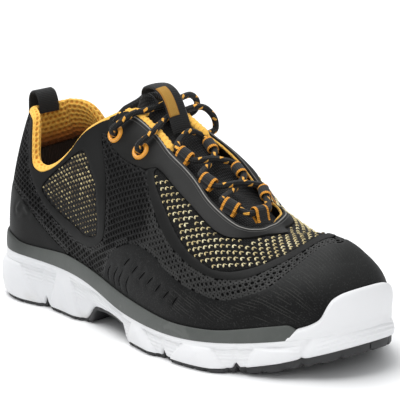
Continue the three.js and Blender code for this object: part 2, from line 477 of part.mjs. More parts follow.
function cord(points, steps, r = LACE / 2) {
  const curve = new THREE.CatmullRomCurve3(points.map(V), false, "centripetal");
  const shape = new THREE.Shape(Array.from({ length: LACE_SIDES }, (_, i) => new THREE.Vector2(r * Math.cos((i * TURN) / LACE_SIDES), r * Math.sin((i * TURN) / LACE_SIDES))));
  return new THREE.ExtrudeGeometry(shape, { steps, extrudePath: curve, bevelEnabled: false });
}
const loopAt = Object.fromEntries(LOOPS.map((q) => [q.name.replace("lace_loop_", ""), { ...q, ...loopFrame(q) }]));
function through(name, reach) { // a point on a loop's axis, beyond its fold
  const q = loopAt[name];
  return [q.x + q.axis.x * reach, q.y + q.axis.y * reach, q.z + q.axis.z * reach];
}

// Lacing: one lace from the top loops down to the front loop, crossing twice, and a bar across the top.
const along = (name, towardToe) => { const q = loopAt[name], d = Math.sign(q.axis.x) * (towardToe ? 1 : -1); return d; };
const reachOut = LOOP_WIDTH / 2 + 2.4;
const edgePoint = (name, toe) => { const q = loopAt[name], d = along(name, toe); return through(name, d * reachOut); };
const fr = loopAt.front, frontPoint = (side) => { const d = Math.sign(fr.axis.y) * side; return through("front", d * reachOut); };
const mid3 = (a, b, lift) => [(a[0] + b[0]) / 2, (a[1] + b[1]) / 2, (a[2] + b[2]) / 2 + lift];
const along3 = (names, side) => { // one half of the lacing, loop by loop towards the toe
  const pts = [through(names[0], 0), edgePoint(names[0], true)];
  for (let i = 1; i < names.length; i++) {
    const from = pts[pts.length - 1], to = edgePoint(names[i], false);
    pts.push(mid3(from, to, (i + (side > 0 ? 1 : 0)) % 2 ? 1.8 : -1.2), to, through(names[i], 0), edgePoint(names[i], true));
  }
  return [...pts, frontPoint(side), through("front", side * -0.6 * Math.sign(fr.axis.y))];
};
const halves = [along3(["lateral_1", "medial_2", "lateral_3"], -1), along3(["medial_1", "lateral_2", "medial_3"], 1)];
const topBar = [through("lateral_1", along("lateral_1", true) * 0.6), edgePoint("lateral_1", false), [158.5, -8.5, 113.8], [157, 0.8, 117.8], [158, 8.5, 114.4], edgePoint("medial_1", false), through("medial_1", along("medial_1", true) * 0.6)];
const lacing = solid(cord(halves[0], 24)).add(solid(cord(halves[1], 24))).add(solid(cord(topBar, 9)));

// Upper bars: from eyelet to eyelet through the tongue's pull loop, slack on the medial side.
const E = Object.fromEntries(EYELETS.map((e) => [e.name, frameOnForm(e.a, e.z)]));
const off = (f, d) => [f.p.x + f.n.x * d, f.p.y + f.n.y * d, f.p.z + f.n.z * d];
const lifted = (f, h, t, to) => { // above an eyelet, t millimetres on the way to a point
  const d = V(to).sub(f.p), k = d.clone().sub(f.n.clone().multiplyScalar(d.dot(f.n))).normalize();
  return [f.p.x + f.n.x * h + k.x * t, f.p.y + f.n.y * h + k.y * t, f.p.z + f.n.z * h + k.z * t];
};
const BAR_1 = [off(E.eyelet_lateral_1, -1.6), off(E.eyelet_lateral_1, 1.0), off(E.eyelet_lateral_1, 3.4), lifted(E.eyelet_lateral_1, 5.4, 2.4, [127, -17.8, 126]), [123.4, -22.6, 123.2], [127.2, -17.0, 127.4], [131.0, -9.5, 128.8], [133.5, 0.5, 130.4], [133.4, 9, 131.0], [131.6, 17, 132.2], [129.6, 25, 131.8], [127.2, 31.2, 126.2], [123.0, 31.4, 119.6], off(E.eyelet_medial_1, 4.2), off(E.eyelet_medial_1, 1.2), off(E.eyelet_medial_1, -1.6)];
const BAR_2 = [off(E.eyelet_lateral_2, -1.6), off(E.eyelet_lateral_2, 1.0), off(E.eyelet_lateral_2, 3.4), lifted(E.eyelet_lateral_2, 5.4, 2.4, [146, -16, 119]), [145.8, -22.2, 116.8], [146.6, -16.6, 120.2], [143.6, -8.6, 123.2], [141.0, 0.5, 125.4], [140.4, 9, 126.0], [141.2, 18, 127.2], [141.8, 25.6, 125.4], [142.3, 31.6, 118.6], [142.6, 32.0, 111.8], off(E.eyelet_medial_2, 4.2), off(E.eyelet_medial_2, 1.2), off(E.eyelet_medial_2, -1.6)];

// Eyelet: one closed profile turned round its axis, flange outside the wall.
function eyeletBody() {
  const p = [[EYELET_BORE, -2.9], [EYELET_BORE + 0.9, -2.9], [EYELET_BORE + 0.9, 0.5], [EYELET_OUT, 0.5], [EYELET_OUT - 0.8, 2.1], [EYELET_BORE + 0.3, 2.1], [EYELET_BORE, -2.9]];
  return new THREE.LatheGeometry(p.map(([x, y]) => new THREE.Vector2(x, y)), 12);
}

// ---------------------------------------------------------------- assembly
const MATERIALS = {
  rubber_black: new THREE.MeshStandardMaterial({ color: 0x2b2b2b, roughness: 0.85, metalness: 0 }),
  foam_white: new THREE.MeshStandardMaterial({ color: 0xe9e9ea, roughness: 0.55, metalness: 0 }),
  rand_grey: new THREE.MeshStandardMaterial({ color: 0x666b66, roughness: 0.6, metalness: 0 }),
  knit_black: new THREE.MeshStandardMaterial({ color: 0x262626, roughness: 0.8, metalness: 0 }),
  lining_orange: new THREE.MeshStandardMaterial({ color: 0xe39a2d, roughness: 0.9, metalness: 0 }),
  foam_dark: new THREE.MeshStandardMaterial({ color: 0x303030, roughness: 0.95, metalness: 0 }),
  lace_black: new THREE.MeshStandardMaterial({ color: 0x1c1a18, roughness: 0.85, metalness: 0 }),
  eyelet_orange: new THREE.MeshStandardMaterial({ color: 0xe0902a, roughness: 0.5, metalness: 0 }),
  webbing_black: new THREE.MeshStandardMaterial({ color: 0x222222, roughness: 0.8, metalness: 0 }),
};
const shoe = new THREE.Group();
shoe.name = "safety_sneaker";
const lower = new THREE.Group(), body = new THREE.Group(), fastening = new THREE.Group();
shoe.add(lower, body, fastening);
shoe.position.set(-ORIGIN[0], -ORIGIN[1], -ORIGIN[2]);
function add(group, name, geometry, material) {
  const mesh = new THREE.Mesh(geometry, MATERIALS[material]);
  mesh.name = name;
  group.add(mesh);
  return mesh;
}
add(lower, "outsole", outsoleSolid(), "rubber_black");
add(lower, "midsole", toGeometry(midsole), "foam_white");
add(lower, "rand", randBody(), "rand_grey");
add(lower, "insole", insoleBody(), "foam_dark");
add(body, "upper", toGeometry(upper), "knit_black");
add(body, "collar_lining", liningBody(), "lining_orange");
add(body, "tongue", tongueBody(), "knit_black");
add(body, "tongue_pull_loop", strap(TONGUE_PULL, 0.8), "webbing_black");
add(body, "heel_pull_loop", strap(HEEL_PULL, 0), "webbing_black");
for (const e of EYELETS) {
  const { p, n } = E[e.name], mesh = add(fastening, e.name, eyeletBody(), "eyelet_orange");
  mesh.position.copy(p);
  mesh.quaternion.setFromUnitVectors(new THREE.Vector3(0, 1, 0), n);
}
for (const [name, g] of loopParts) add(fastening, name, g, "webbing_black");
add(fastening, "lace_crossings", toGeometry(lacing), "lace_black");
add(fastening, "lace_bar_1", cord(BAR_1, 19), "lace_black");
add(fastening, "lace_bar_2", cord(BAR_2, 19), "lace_black");

export default shoe;
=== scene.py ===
"""Looks of a low safety sneaker, right shoe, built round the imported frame.

Lengths in this file are millimetres in the shoe's own modelling frame (x from the heel, y to the
inner side, z up); put() turns them into metres in the row frame.
"""
import math

import bpy
import numpy as np
from mathutils import Matrix, Vector


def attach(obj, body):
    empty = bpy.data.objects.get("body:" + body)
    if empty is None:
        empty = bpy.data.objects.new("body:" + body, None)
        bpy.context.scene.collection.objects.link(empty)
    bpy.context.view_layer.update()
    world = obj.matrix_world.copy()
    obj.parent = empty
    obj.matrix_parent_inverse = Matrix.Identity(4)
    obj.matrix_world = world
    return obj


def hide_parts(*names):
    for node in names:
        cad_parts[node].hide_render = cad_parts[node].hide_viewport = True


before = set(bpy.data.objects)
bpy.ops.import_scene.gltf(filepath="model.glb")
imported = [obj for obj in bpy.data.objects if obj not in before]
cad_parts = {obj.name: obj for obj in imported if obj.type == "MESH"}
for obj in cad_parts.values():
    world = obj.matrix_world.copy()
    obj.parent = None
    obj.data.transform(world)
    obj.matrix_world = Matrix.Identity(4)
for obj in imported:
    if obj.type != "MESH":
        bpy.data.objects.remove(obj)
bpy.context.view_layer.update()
TAU = 2 * math.pi
ORIGIN = np.array([149.351, -0.597, 0.0])


def put(p):
    return (np.asarray(p, float) - ORIGIN) * 0.001


# ------------------------------------------------------------------ camera, floor and light
def camera_axes(az, el, roll):
    a, e, r = np.radians([az, el, roll])
    back = np.array([np.sin(a) * np.cos(e), -np.cos(a) * np.cos(e), np.sin(e)])
    right = np.array([np.cos(a), np.sin(a), 0.0])
    up = np.cross(back, right)
    return np.cos(r) * right + np.sin(r) * up, -np.sin(r) * right + np.cos(r) * up, back


CAM_RIGHT, CAM_UP, CAM_BACK = camera_axes(51.95, 15.03, -2.75)
target = np.array([150.0, 0.0, 50.0])
eye = target + 1600.0 * CAM_BACK
aim = target + 8.18 * CAM_RIGHT + 24.7 * CAM_UP
back = (eye - aim) / np.linalg.norm(eye - aim)
right = np.cross(CAM_UP, back)
right /= np.linalg.norm(right)
up = np.cross(back, right)
cam = bpy.data.objects.new("camera", bpy.data.cameras.new("camera"))
bpy.context.scene.collection.objects.link(cam)
cam.data.lens, cam.data.sensor_width, cam.data.sensor_fit = 243.4, 36.0, "HORIZONTAL"
cam.data.clip_start, cam.data.clip_end = 0.05, 40.0
place = Matrix.Identity(4)
for k, axis in enumerate((right, up, back)):
    for j in range(3):
        place[j][k] = axis[j]
for j, c in enumerate(put(eye)):
    place[j][3] = c
cam.matrix_world = place
bpy.context.scene.camera = cam
bpy.context.scene.view_settings.view_transform = "Standard"
bpy.context.scene.view_settings.look = "None"


def area_light(name, spot, aim_at, size, watts, colour=(1, 1, 1)):
    data = bpy.data.lights.new(name, "AREA")
    data.shape, data.size, data.size_y, data.energy, data.color = "RECTANGLE", size[0], size[1], watts, colour
    lamp = bpy.data.objects.new(name, data)
    bpy.context.scene.collection.objects.link(lamp)
    lamp.location = spot
    lamp.rotation_mode = "QUATERNION"
    lamp.rotation_quaternion = (Vector(spot) - Vector(aim_at)).to_track_quat("Z", "Y")
    return lamp


world = bpy.data.worlds.new("studio")
bpy.context.scene.world = world
world.use_nodes = True
world.node_tree.nodes["Background"].inputs[0].default_value = (0.97, 0.985, 1.0, 1)
world.node_tree.nodes["Background"].inputs[1].default_value = 0.60
area_light("overhead", (-0.20, -0.30, 1.25), (0, 0, 0.03), (1.3, 1.0), 15)
area_light("side", (0.9, -1.2, 0.8), (0, 0, 0.05), (0.8, 0.5), 1.3)
area_light("front", (1.3, -0.25, 0.65), (0.05, 0, 0.05), (0.7, 0.5), 1.5)
area_light("far_floor", (-1.0, 0.8, 1.3), (-0.9, 0.75, 0), (1.5, 1.5), 9)


# ------------------------------------------------------------------ the last's tables, as the solids have them
LENGTH, WALL, GAP = 300.0, 2.6, 0.3
HEEL_RUN, HEEL_POWER, TOE_RUN, TOE_POWER = 40.0, 2.3, 95.0, 2.4
RIDGE_BACK, RIDGE_FRONT = 18.0, 262.0
LAST = dict(
    x=[0, 40, 80, 120, 160, 200, 230, 260, 300],
    half=[38.2, 39.0, 38.0, 39.5, 46.3, 52.8, 53.6, 49.9, 42.5],
    mid=[-0.7, -0.5, -1.6, -4.0, -4.3, -2.2, 0.9, 4.6, 6.3],
)
SOLE = dict(
    x=[0, 50, 100, 150, 200, 250, 300],
    zf=[41.0, 38.2, 36.2, 28.3, 23.7, 25.0, 32.5],
    zr=[30.2, 30.2, 27.8, 18.9, 16.6, 19.2, 27.0],
)
RIDGE = dict(
    x=[0, 40, 80, 100, 120, 140, 160, 180, 200, 214, 226, 238, 250, 262, 300],
    y=[0, 0, 0, 0, 0.5, 1.0, 1.0, 1.0, 1.2, 1.6, 2.4, 3.6, 5.2, 7.0, 9.0],
    z=[152, 152, 149, 144, 137, 127, 115.5, 103, 91.5, 83, 74.6, 70.8, 72.2, 74.4, 66],
)
RIB = dict(
    x=[0, 50, 100, 150, 172, 192, 235, 262],
    lateral=[2.9, 1.8, 1.35, 1.3, 1.3, 1.3, 1.1, 0.78],
    medial=[2.9, 1.8, 1.45, 1.0, 1.05, 1.9, 1.9, 0.8],
    top=[1.0, 1.0, 1.0, 1.0, 0.98, 0.95, 0.87, 0.7],
    swell=[-2.8, 0.2, 0.5, 0.5, 1.1, 1.5, 2.0, 2.0],
)
COLLAR_LATERAL = dict(
    a=[0, 10, 20, 27.2, 32, 35.9, 40.5, 43.4, 45.3, 48.5, 51.6, 55.7, 59.2, 62.3, 64.1, 66.5, 70.5, 74.8, 78.1, 80.4, 83.8],
    z=[109.3, 110, 111, 111.8, 111.4, 108.8, 98.6, 89, 85.2, 83.5, 84.2, 88.1, 93.7, 100.6, 106.3, 112.2, 117.9, 122.5, 125.9, 126.7, 125.6],
)
COLLAR_MEDIAL = dict(
    a=[0, 10, 20, 28, 34, 38.5, 41.5, 44, 46.5, 49.5, 52.5, 56, 59.5, 62.5, 64.5, 67, 70.5, 74.8, 78.1, 80.4, 83.8],
    z=[109.3, 110.2, 111.8, 113.4, 113.4, 110.2, 102.6, 94, 89.4, 87.5, 88, 91.5, 96.5, 103, 108.5, 113.5, 118.5, 122.8, 126, 126.7, 125.6],
)
THROAT = dict(
    x=[104, 122, 133, 148, 160, 167, 176, 186, 198, 206, 213, 218, 222, 225, 228, 229.6],
    lateral=[-17, -14.5, -13.7, -14.2, -16.0, -16.4, -16.5, -17.4, -19.8, -20.6, -20.6, -20.2, -19.4, -18.2, -15.2, -11],
    medial=[12, 12, 12, 12, 12.8, 15.4, 18.4, 21.0, 23.7, 24.8, 22.0, 18.5, 13.5, 8.0, 1.5, -4],
)
GUARD = dict(
    a=[150.0, 155.2, 158.9, 161.5, 164.2, 169.9, 180.0, 190.1, 195.8, 198.5, 201.1, 204.8, 210.0],
    z=[29.4, 32.2, 35.7, 41.9, 46.2, 49.3, 50.6, 49.3, 46.2, 41.9, 35.7, 32.2, 29.4],
)


def curve(tx, ty, x):
    tx, ty, x = np.asarray(tx, float), np.asarray(ty, float), np.asarray(x, float)
    m = np.empty_like(ty)
    m[1:-1] = (ty[2:] - ty[:-2]) / (tx[2:] - tx[:-2])
    m[0], m[-1] = (ty[1] - ty[0]) / (tx[1] - tx[0]), (ty[-1] - ty[-2]) / (tx[-1] - tx[-2])
    i = np.clip(np.searchsorted(tx, x, side="right") - 1, 0, len(tx) - 2)
    h = tx[i + 1] - tx[i]
    t = np.clip((x - tx[i]) / h, 0, 1)
    t2, t3 = t * t, t * t * t
    return (2 * t3 - 3 * t2 + 1) * ty[i] + (t3 - 2 * t2 + t) * h * m[i] + (3 * t2 - 2 * t3) * ty[i + 1] + (t3 - t2) * h * m[i + 1]


def tab(table, key, x, by="x"):
    return curve(table[by], table[key], x)


def smooth(t):
    c = np.clip(t, 0, 1)
    return c * c * (3 - 2 * c)


def lerp(a, b, t):
    return a + (b - a) * t


def plan(s):
    s = np.asarray(s, float)
    x = LENGTH / 2 * (1 - np.cos(s))
    a, b = np.clip((HEEL_RUN - x) / HEEL_RUN, 0, 1), np.clip((x - (LENGTH - TOE_RUN)) / TOE_RUN, 0, 1)
    half = tab(LAST, "half", x) * (1 - a**HEEL_POWER) ** (1 / HEEL_POWER) * (1 - b**TOE_POWER) ** (1 / TOE_POWER)
    return x, tab(LAST, "mid", x) - np.sign(np.sin(s)) * half * (np.abs(np.sin(s)) > 1e-9)


def outward(s):
    e = 1e-3
    x0, y0 = plan(s - e)
    x1, y1 = plan(s + e)
    dx, dy = x1 - x0, y1 - y0
    n = np.hypot(dx, dy) + 1e-12
    return dy / n, -dx / n


def form(s, v, off=0.0):
    """The upper's own surface: s round the foot from the heel, v up from the feather line to the instep ridge."""
    s, v, off = np.broadcast_arrays(np.asarray(s, float), np.asarray(v, float), np.asarray(off, float))
    x, y = plan(s)
    nx, ny = outward(s)
    zf = tab(SOLE, "zf", x)
    xr = RIDGE_BACK + (RIDGE_FRONT - RIDGE_BACK) * (1 - np.cos(s)) / 2
    yr, zr = tab(RIDGE, "y", xr), tab(RIDGE, "z", xr)
    th = np.clip(v, 0, 1) * np.pi / 2
    w = smooth((1 + np.sin(s)) / 2)
    p = tab(RIB, "medial", xr) * (1 - w) + tab(RIB, "lateral", xr) * w
    a = 1 - np.maximum(np.cos(th), 0) ** p
    b = np.sin(th) ** tab(RIB, "top", xr)
    g = tab(RIB, "swell", xr) * np.sin(np.pi * np.clip(b / 0.75, 0, 1)) * (b < 0.75)
    low = np.minimum(v, 0)  # below the feather line the wall goes straight down
    return np.stack([x + (xr - x) * a + nx * (g + off * (1 - a)), y + (yr - y) * a + ny * (g + off * (1 - a)), zf + (zr - zf) * b + off * b + low * 60], -1)


def height_to_v(s, z):
    lo, hi = np.zeros_like(np.asarray(s, float) + z), np.ones_like(np.asarray(s, float) + z)
    for _ in range(34):
        m = (lo + hi) / 2
        below = form(s, m)[..., 2] < z
        lo, hi = np.where(below, m, lo), np.where(below, hi, m)
    return (lo + hi) / 2


def wall_at(s, z, off):
    x, y = plan(s)
    nx, ny = outward(s)
    p = form(s, height_to_v(s, z), off)
    straight = np.stack(np.broadcast_arrays(x + nx * off, y + ny * off, z), -1)
    return np.where((z <= tab(SOLE, "zf", x))[..., None], straight, p)


# ------------------------------------------------------------------ chart of the upper
# X along the shoe and G, the girth over the top from the instep ridge, lateral side negative: a flat pattern's
# coordinates, so that knit rows, holes and panels keep their real size on the surface.
CHART_X = np.arange(2.0, 298.6, 1.0)
CHART_T = np.linspace(0, 1, 121)
G_MAX, G_STEP = 150, 1.0


def _solve(f, lo, hi, goal):
    lo, hi = np.full(np.shape(goal), float(lo)), np.full(np.shape(goal), float(hi))
    for _ in range(32):
        m = (lo + hi) / 2
        under = f(m) < goal
        lo, hi = np.where(under, m, lo), np.where(under, hi, m)
    return (lo + hi) / 2


def _chart(side):
    x = CHART_X
    v_heel = _solve(lambda v: form(np.full_like(v, 1e-4), v)[..., 0], 0, 1, x)
    v_toe = 1 - _solve(lambda u: form(np.full_like(u, np.pi - 1e-4), 1 - u)[..., 0], 0, 1, x)
    top = np.where(x < RIDGE_BACK, v_heel, np.where(x > RIDGE_FRONT, v_toe, 1.0))
    v = top[:, None] * (1 - CHART_T[None] ** 2)
    turn = (lambda s: s) if side < 0 else (lambda s: TAU - s)
    s = turn(_solve(lambda q: form(turn(q), v)[..., 0], 1e-6, np.pi - 1e-6, np.broadcast_to(x[:, None], v.shape)))
    p = form(s, v)
    g = np.concatenate([np.zeros((len(x), 1)), np.cumsum(np.linalg.norm(np.diff(p, axis=1), axis=2), 1)], 1)
    goal = np.arange(0, G_MAX, G_STEP)
    sg = np.array([np.interp(goal, g[i], s[i]) for i in range(len(x))])
    tg = np.array([np.interp(goal, g[i], CHART_T) for i in range(len(x))])
    vg = top[:, None] * (1 - tg**2)
    return dict(top=top, g=g, s=sg, v=vg, girth=g[:, -1])


CHARTS = {-1: _chart(-1), 1: _chart(1)}


def _bilinear(table, i, j):
    i0, j0 = np.clip(i.astype(int), 0, table.shape[0] - 2), np.clip(j.astype(int), 0, table.shape[1] - 2)
    fi, fj = np.clip(i - i0, 0, 1), np.clip(j - j0, 0, 1)
    return (table[i0, j0] * (1 - fi) * (1 - fj) + table[i0 + 1, j0] * fi * (1 - fj) + table[i0, j0 + 1] * (1 - fi) * fj + table[i0 + 1, j0 + 1] * fi * fj)


def to_chart(s, v):
    """(X, G) of points of the form."""
    s, v = np.broadcast_arrays(np.asarray(s, float), np.asarray(v, float))
    x = form(s, np.maximum(v, 0))[..., 0]
    i = np.clip((x - CHART_X[0]) / 1.0, 0, len(CHART_X) - 1.001)
    side = np.where(np.sin(s) >= 0, -1.0, 1.0)
    out = np.zeros(s.shape)
    for k, c in CHARTS.items():
        top = np.interp(x, CHART_X, c["top"])
        t = np.sqrt(np.clip(1 - np.maximum(v, 0) / top, 0, 1))
        g = _bilinear(c["g"], i, t * (len(CHART_T) - 1))
        out = np.where(side == k, g - np.minimum(v, 0) * 60, out)
    return x, out * side


def from_chart(x, g):
    """(s, v) at chart places."""
    x, g = np.broadcast_arrays(np.asarray(x, float), np.asarray(g, float))
    i = np.clip((x - CHART_X[0]) / 1.0, 0, len(CHART_X) - 1.001)
    lateral, medial = CHARTS[-1], CHARTS[1]
    j = np.abs(g) / G_STEP
    s = np.where(g < 0, _bilinear(lateral["s"], i, j), _bilinear(medial["s"], i, j))
    v = np.where(g < 0, _bilinear(lateral["v"], i, j), _bilinear(medial["v"], i, j))
    return s, v


def skin(x, g, off=0.0):
    s, v = from_chart(x, g)
    return form(s, v, off)


def spline(points, step=1.0, closed=False):
    """Dense Catmull-Rom line through points of any dimension."""
    p = np.asarray(points, float)
    n = len(p)
    out = []
    for i in range(n if closed else n - 1):
        a, b, c, d = (p[(i + k) % n] if closed else p[min(max(i + k, 0), n - 1)] for k in (-1, 0, 1, 2))
        m = max(2, int(np.linalg.norm(c - b) / step) + 1)
        for t in np.arange(m) / m:
            out.append(0.5 * (2 * b + (c - a) * t + (2 * a - 5 * b + 4 * c - d) * t * t + (3 * b - a - 3 * c + d) * t**3))
    if not closed:
        out.append(p[-1])
    return np.array(out)


def signed_distance(points, polygon):
    """Positive inside the closed polygon, in the polygon's own units."""
    p, a = np.asarray(points, float), np.asarray(polygon, float)
    b = np.roll(a, -1, 0)
    best, inside = np.full(len(p), 1e9), np.zeros(len(p), bool)
    for k in range(0, len(p), 20000):
        q = p[k : k + 20000]
        ab = b - a
        w = q[:, None] - a[None]
        t = np.clip((w * ab).sum(2) / ((ab * ab).sum(1) + 1e-12), 0, 1)
        best[k : k + 20000] = np.sqrt(((w - t[..., None] * ab) ** 2).sum(2).min(1))
        up = (a[None, :, 1] > q[:, None, 1]) != (b[None, :, 1] > q[:, None, 1])
        with np.errstate(divide="ignore", invalid="ignore"):
            xc = a[:, 0] + (q[:, None, 1] - a[:, 1]) * (b[:, 0] - a[:, 0]) / (b[:, 1] - a[:, 1])
        inside[k : k + 20000] = (up & (q[:, None, 0] < xc)).sum(1) % 2 == 1
    return np.where(inside, best, -best)


# ------------------------------------------------------------------ panels, given on the last (s, v), lateral side
WINDOW_IN = [(1.673, 0.591), (1.723, 0.596), (1.799, 0.588), (1.879, 0.581), (1.961, 0.570), (2.050, 0.549), (2.116, 0.540), (2.180, 0.552), (2.254, 0.608), (2.312, 0.685), (2.375, 0.787)]
WINDOW_OUT = [(1.664, 0.560), (1.704, 0.516), (1.767, 0.479), (1.828, 0.446), (1.908, 0.402), (1.985, 0.367), (2.066, 0.347), (2.127, 0.332), (2.192, 0.338), (2.250, 0.362), (2.315, 0.413), (2.392, 0.485), (2.495, 0.595), (2.627, 0.707), (2.831, 0.856)]
FRAME_OUT = [(1.615, 0.562), (1.671, 0.477), (1.730, 0.427), (1.794, 0.385), (1.871, 0.347), (1.962, 0.320), (2.042, 0.299), (2.136, 0.289), (2.224, 0.303), (2.312, 0.348), (2.401, 0.428), (2.501, 0.527), (2.626, 0.626), (2.801, 0.756)]
FOREFOOT = [(1.400, -0.08), (1.419, 0.021), (1.468, 0.105), (1.549, 0.175), (1.662, 0.231), (1.794, 0.247), (1.892, 0.221), (2.043, 0.188), (2.197, 0.173), (2.334, 0.236), (2.452, 0.318), (2.596, 0.478), (2.905, 0.712)]
TEARDROP = [(1.164, 0.405), (1.198, 0.407), (1.247, 0.374), (1.317, 0.318), (1.351, 0.234), (1.368, 0.172), (1.350, 0.132), (1.268, 0.110), (1.202, 0.120), (1.102, 0.136), (1.000, 0.160), (0.926, 0.188), (0.898, 0.206), (0.914, 0.235), (0.987, 0.285), (1.070, 0.340), (1.136, 0.389)]
QUARTER = [(1.275, 0.525), (1.314, 0.464), (1.383, 0.364), (1.414, 0.258), (1.415, 0.163), (1.367, 0.112), (1.300, 0.079), (1.203, 0.077), (1.121, 0.092), (1.040, 0.112), (0.962, 0.141), (0.887, 0.177), (0.819, 0.214), (0.764, 0.251), (0.722, 0.291), (0.675, 0.342), (0.609, 0.393), (0.555, 0.438), (0.530, 0.500), (0.520, 0.620)]
COUNTER = [(0.0, 0.172), (0.3, 0.172), (0.55, 0.170), (0.623, 0.165), (0.695, 0.150), (0.780, 0.126), (0.869, 0.092), (0.956, 0.061), (1.036, 0.033), (1.100, 0.016), (1.17, -0.08)]
SLITS = [((1.633, 0.165), (1.588, 0.118)), ((1.695, 0.161), (1.652, 0.114)), ((1.751, 0.157), (1.707, 0.108)), ((1.811, 0.159), (1.769, 0.112)), ((1.870, 0.151), (1.829, 0.104)), ((1.926, 0.139), (1.885, 0.092)), ((1.982, 0.130), (1.945, 0.082))]
FLEX = [[(1.540, 0.094), (1.505, 0.047), (1.509, 0.010)], [(1.581, 0.098), (1.546, 0.047), (1.561, 0.012)], [(1.480, 0.079), (1.453, 0.041), (1.459, 0.010)], [(1.632, 0.096), (1.604, 0.050), (1.618, 0.012)]]
PEAK = [(0.664, 0.104), (0.724, 0.133), (0.780, 0.116)]


def charted(points, side):
    s, v = np.array([p[0] for p in points]), np.array([p[1] for p in points])
    x, g = to_chart(s if side < 0 else TAU - s, v)
    return np.stack([x, g], 1)


def both_sides(edge, cross):
    """Open line over the instep: lateral edge, the place where it crosses the ridge, medial edge back."""
    lat, med = charted(edge, -1), charted(edge, 1)
    return spline(np.concatenate([lat, [cross], med[::-1]]), 1.0)


window_in = both_sides(WINDOW_IN, (239.0, 0.0))
window_out = both_sides(WINDOW_OUT, (267.5, 0.0))
frame_out = both_sides(FRAME_OUT, (273.5, 0.0))
forefoot_top = both_sides(FOREFOOT, (281.0, 0.0))
WINDOW_POLY = np.concatenate([window_in, window_out[::-1]])
FRAME_POLY = frame_out  # closed across the throat
FOREFOOT_POLY = np.concatenate([forefoot_top, [[forefoot_top[-1, 0], 190], [420, 190], [420, -190], [forefoot_top[0, 0], -190]]])
TEAR_POLY = {k: spline(charted(TEARDROP, k), 1.0, closed=True) for k in (-1, 1)}


def quarter_poly(side):
    line = spline(charted(QUARTER, side), 1.0)
    return np.concatenate([line, [[18, side * 40], [18, side * 2], [132, side * 2], [132, side * 30]]])


QUARTER_POLY = {k: quarter_poly(k) for k in (-1, 1)}


def eyestay_poly():
    """Film round the throat, from the collar's front corners down to the window's inner edge."""
    lat = charted([(1.318, 0.70), (1.300, 0.625), (1.318, 0.560), (1.385, 0.505), (1.480, 0.500), (1.560, 0.520), (1.615, 0.540)], -1)
    med = charted([(1.318, 0.70), (1.300, 0.625), (1.318, 0.560), (1.385, 0.505), (1.480, 0.500), (1.560, 0.520), (1.615, 0.540)], 1)
    return np.concatenate([[[100, 0]], [[100, lat[0, 1]]], spline(lat, 1.0), window_in, spline(med[::-1], 1.0), [[100, med[0, 1]]]])


EYESTAY_POLY = eyestay_poly()


def collar_line(table, side):
    s = np.radians(np.asarray(table["a"], float))
    s = s if side < 0 else TAU - s
    return s, height_to_v(s, np.asarray(table["z"], float))


COLLAR = {-1: collar_line(COLLAR_LATERAL, -1), 1: collar_line(COLLAR_MEDIAL, 1)}


def collar_poly(side):
    p = form(*COLLAR[side])
    line = spline(p[:, [0, 2]], 1.0)
    return np.concatenate([[[-30, line[0, 1]]], line, [[133.5, 124.5], [140, 175], [-30, 175]]])


COLLAR_POLY = {k: collar_poly(k) for k in (-1, 1)}
throat_lat = spline(np.stack([THROAT["x"], THROAT["lateral"]], 1), 1.0)
throat_med = spline(np.stack([THROAT["x"], THROAT["medial"]], 1), 1.0)
throat_end = spline(np.array([[228, -15.2], [229.6, -11], [230.2, -7.5], [229.6, -4], [228, 1.5]]), 0.7)
THROAT_POLY = np.concatenate([throat_lat, throat_end[8:-8], throat_med[::-1]])


def cut_field(s, v):
    """Positive on the upper's material, in millimetres from the collar or the throat."""
    p = form(s, np.maximum(v, 0)).reshape(-1, 3)
    s = np.asarray(s, float).ravel()
    field = np.full(len(p), 1e3)
    for side in (-1, 1):
        m = (np.sin(s) >= 0) == (side < 0)
        m |= np.abs(np.sin(s)) < 1e-6
        field[m] = np.minimum(field[m], -signed_distance(p[m][:, [0, 2]], COLLAR_POLY[side]))
    high = p[:, 2] > 60
    field[high] = np.minimum(field[high], -signed_distance(p[high][:, :2], THROAT_POLY))
    return field


# ------------------------------------------------------------------ mesh helpers
def weld(keys, tol=2e-4):
    """Index of the first vertex at each place."""
    k = np.round(np.asarray(keys) / tol).astype(np.int64)
    _, first, inverse = np.unique(k, axis=0, return_index=True, return_inverse=True)
    return first, inverse.ravel()


def clip(params, tris, field):
    """Keeps the part of the triangles where field is positive; params are interpolated along the cut."""
    keep = field > 0
    n = keep[tris].sum(1)
    whole, cut = tris[n == 3], tris[(n == 1) | (n == 2)]
    if len(cut) == 0:
        return params, whole, field
    one = keep[cut].sum(1) == 1
    odd = np.where(one[:, None], keep[cut], ~keep[cut]).argmax(1)
    rot = cut[np.arange(len(cut))[:, None], (odd[:, None] + np.arange(3)) % 3]
    ends = np.concatenate([rot[:, [0, 1]], rot[:, [0, 2]]])
    key = np.sort(ends, 1)
    uniq, inv = np.unique(key, axis=0, return_inverse=True)
    inv = inv.ravel()
    a, b = uniq[:, 0], uniq[:, 1]
    t = np.clip(field[a] / (field[a] - field[b]), 0.002, 0.998)
    new = params[a] + (params[b] - params[a]) * t[:, None]
    base = len(params)
    ab, ac = base + inv[: len(rot)], base + inv[len(rot) :]
    tri_one = np.stack([rot[:, 0], ab, ac], 1)[one]
    q = ~one
    tri_two = np.concatenate([np.stack([ab, rot[:, 1], rot[:, 2]], 1)[q], np.stack([ab, rot[:, 2], ac], 1)[q]])
    params = np.concatenate([params, new])
    field = np.concatenate([field, np.zeros(len(new))])
    tris = np.concatenate([whole, tri_one, tri_two])
    used, back_to = np.unique(tris, return_inverse=True)
    return params[used], back_to.reshape(-1, 3), field[used]


def boundary(tris):
    e = np.concatenate([tris[:, [0, 1]], tris[:, [1, 2]], tris[:, [2, 0]]])
    key = np.sort(e, 1)
    _, inv, count = np.unique(key, axis=0, return_inverse=True, return_counts=True)
    return e[count[inv.ravel()] == 1]


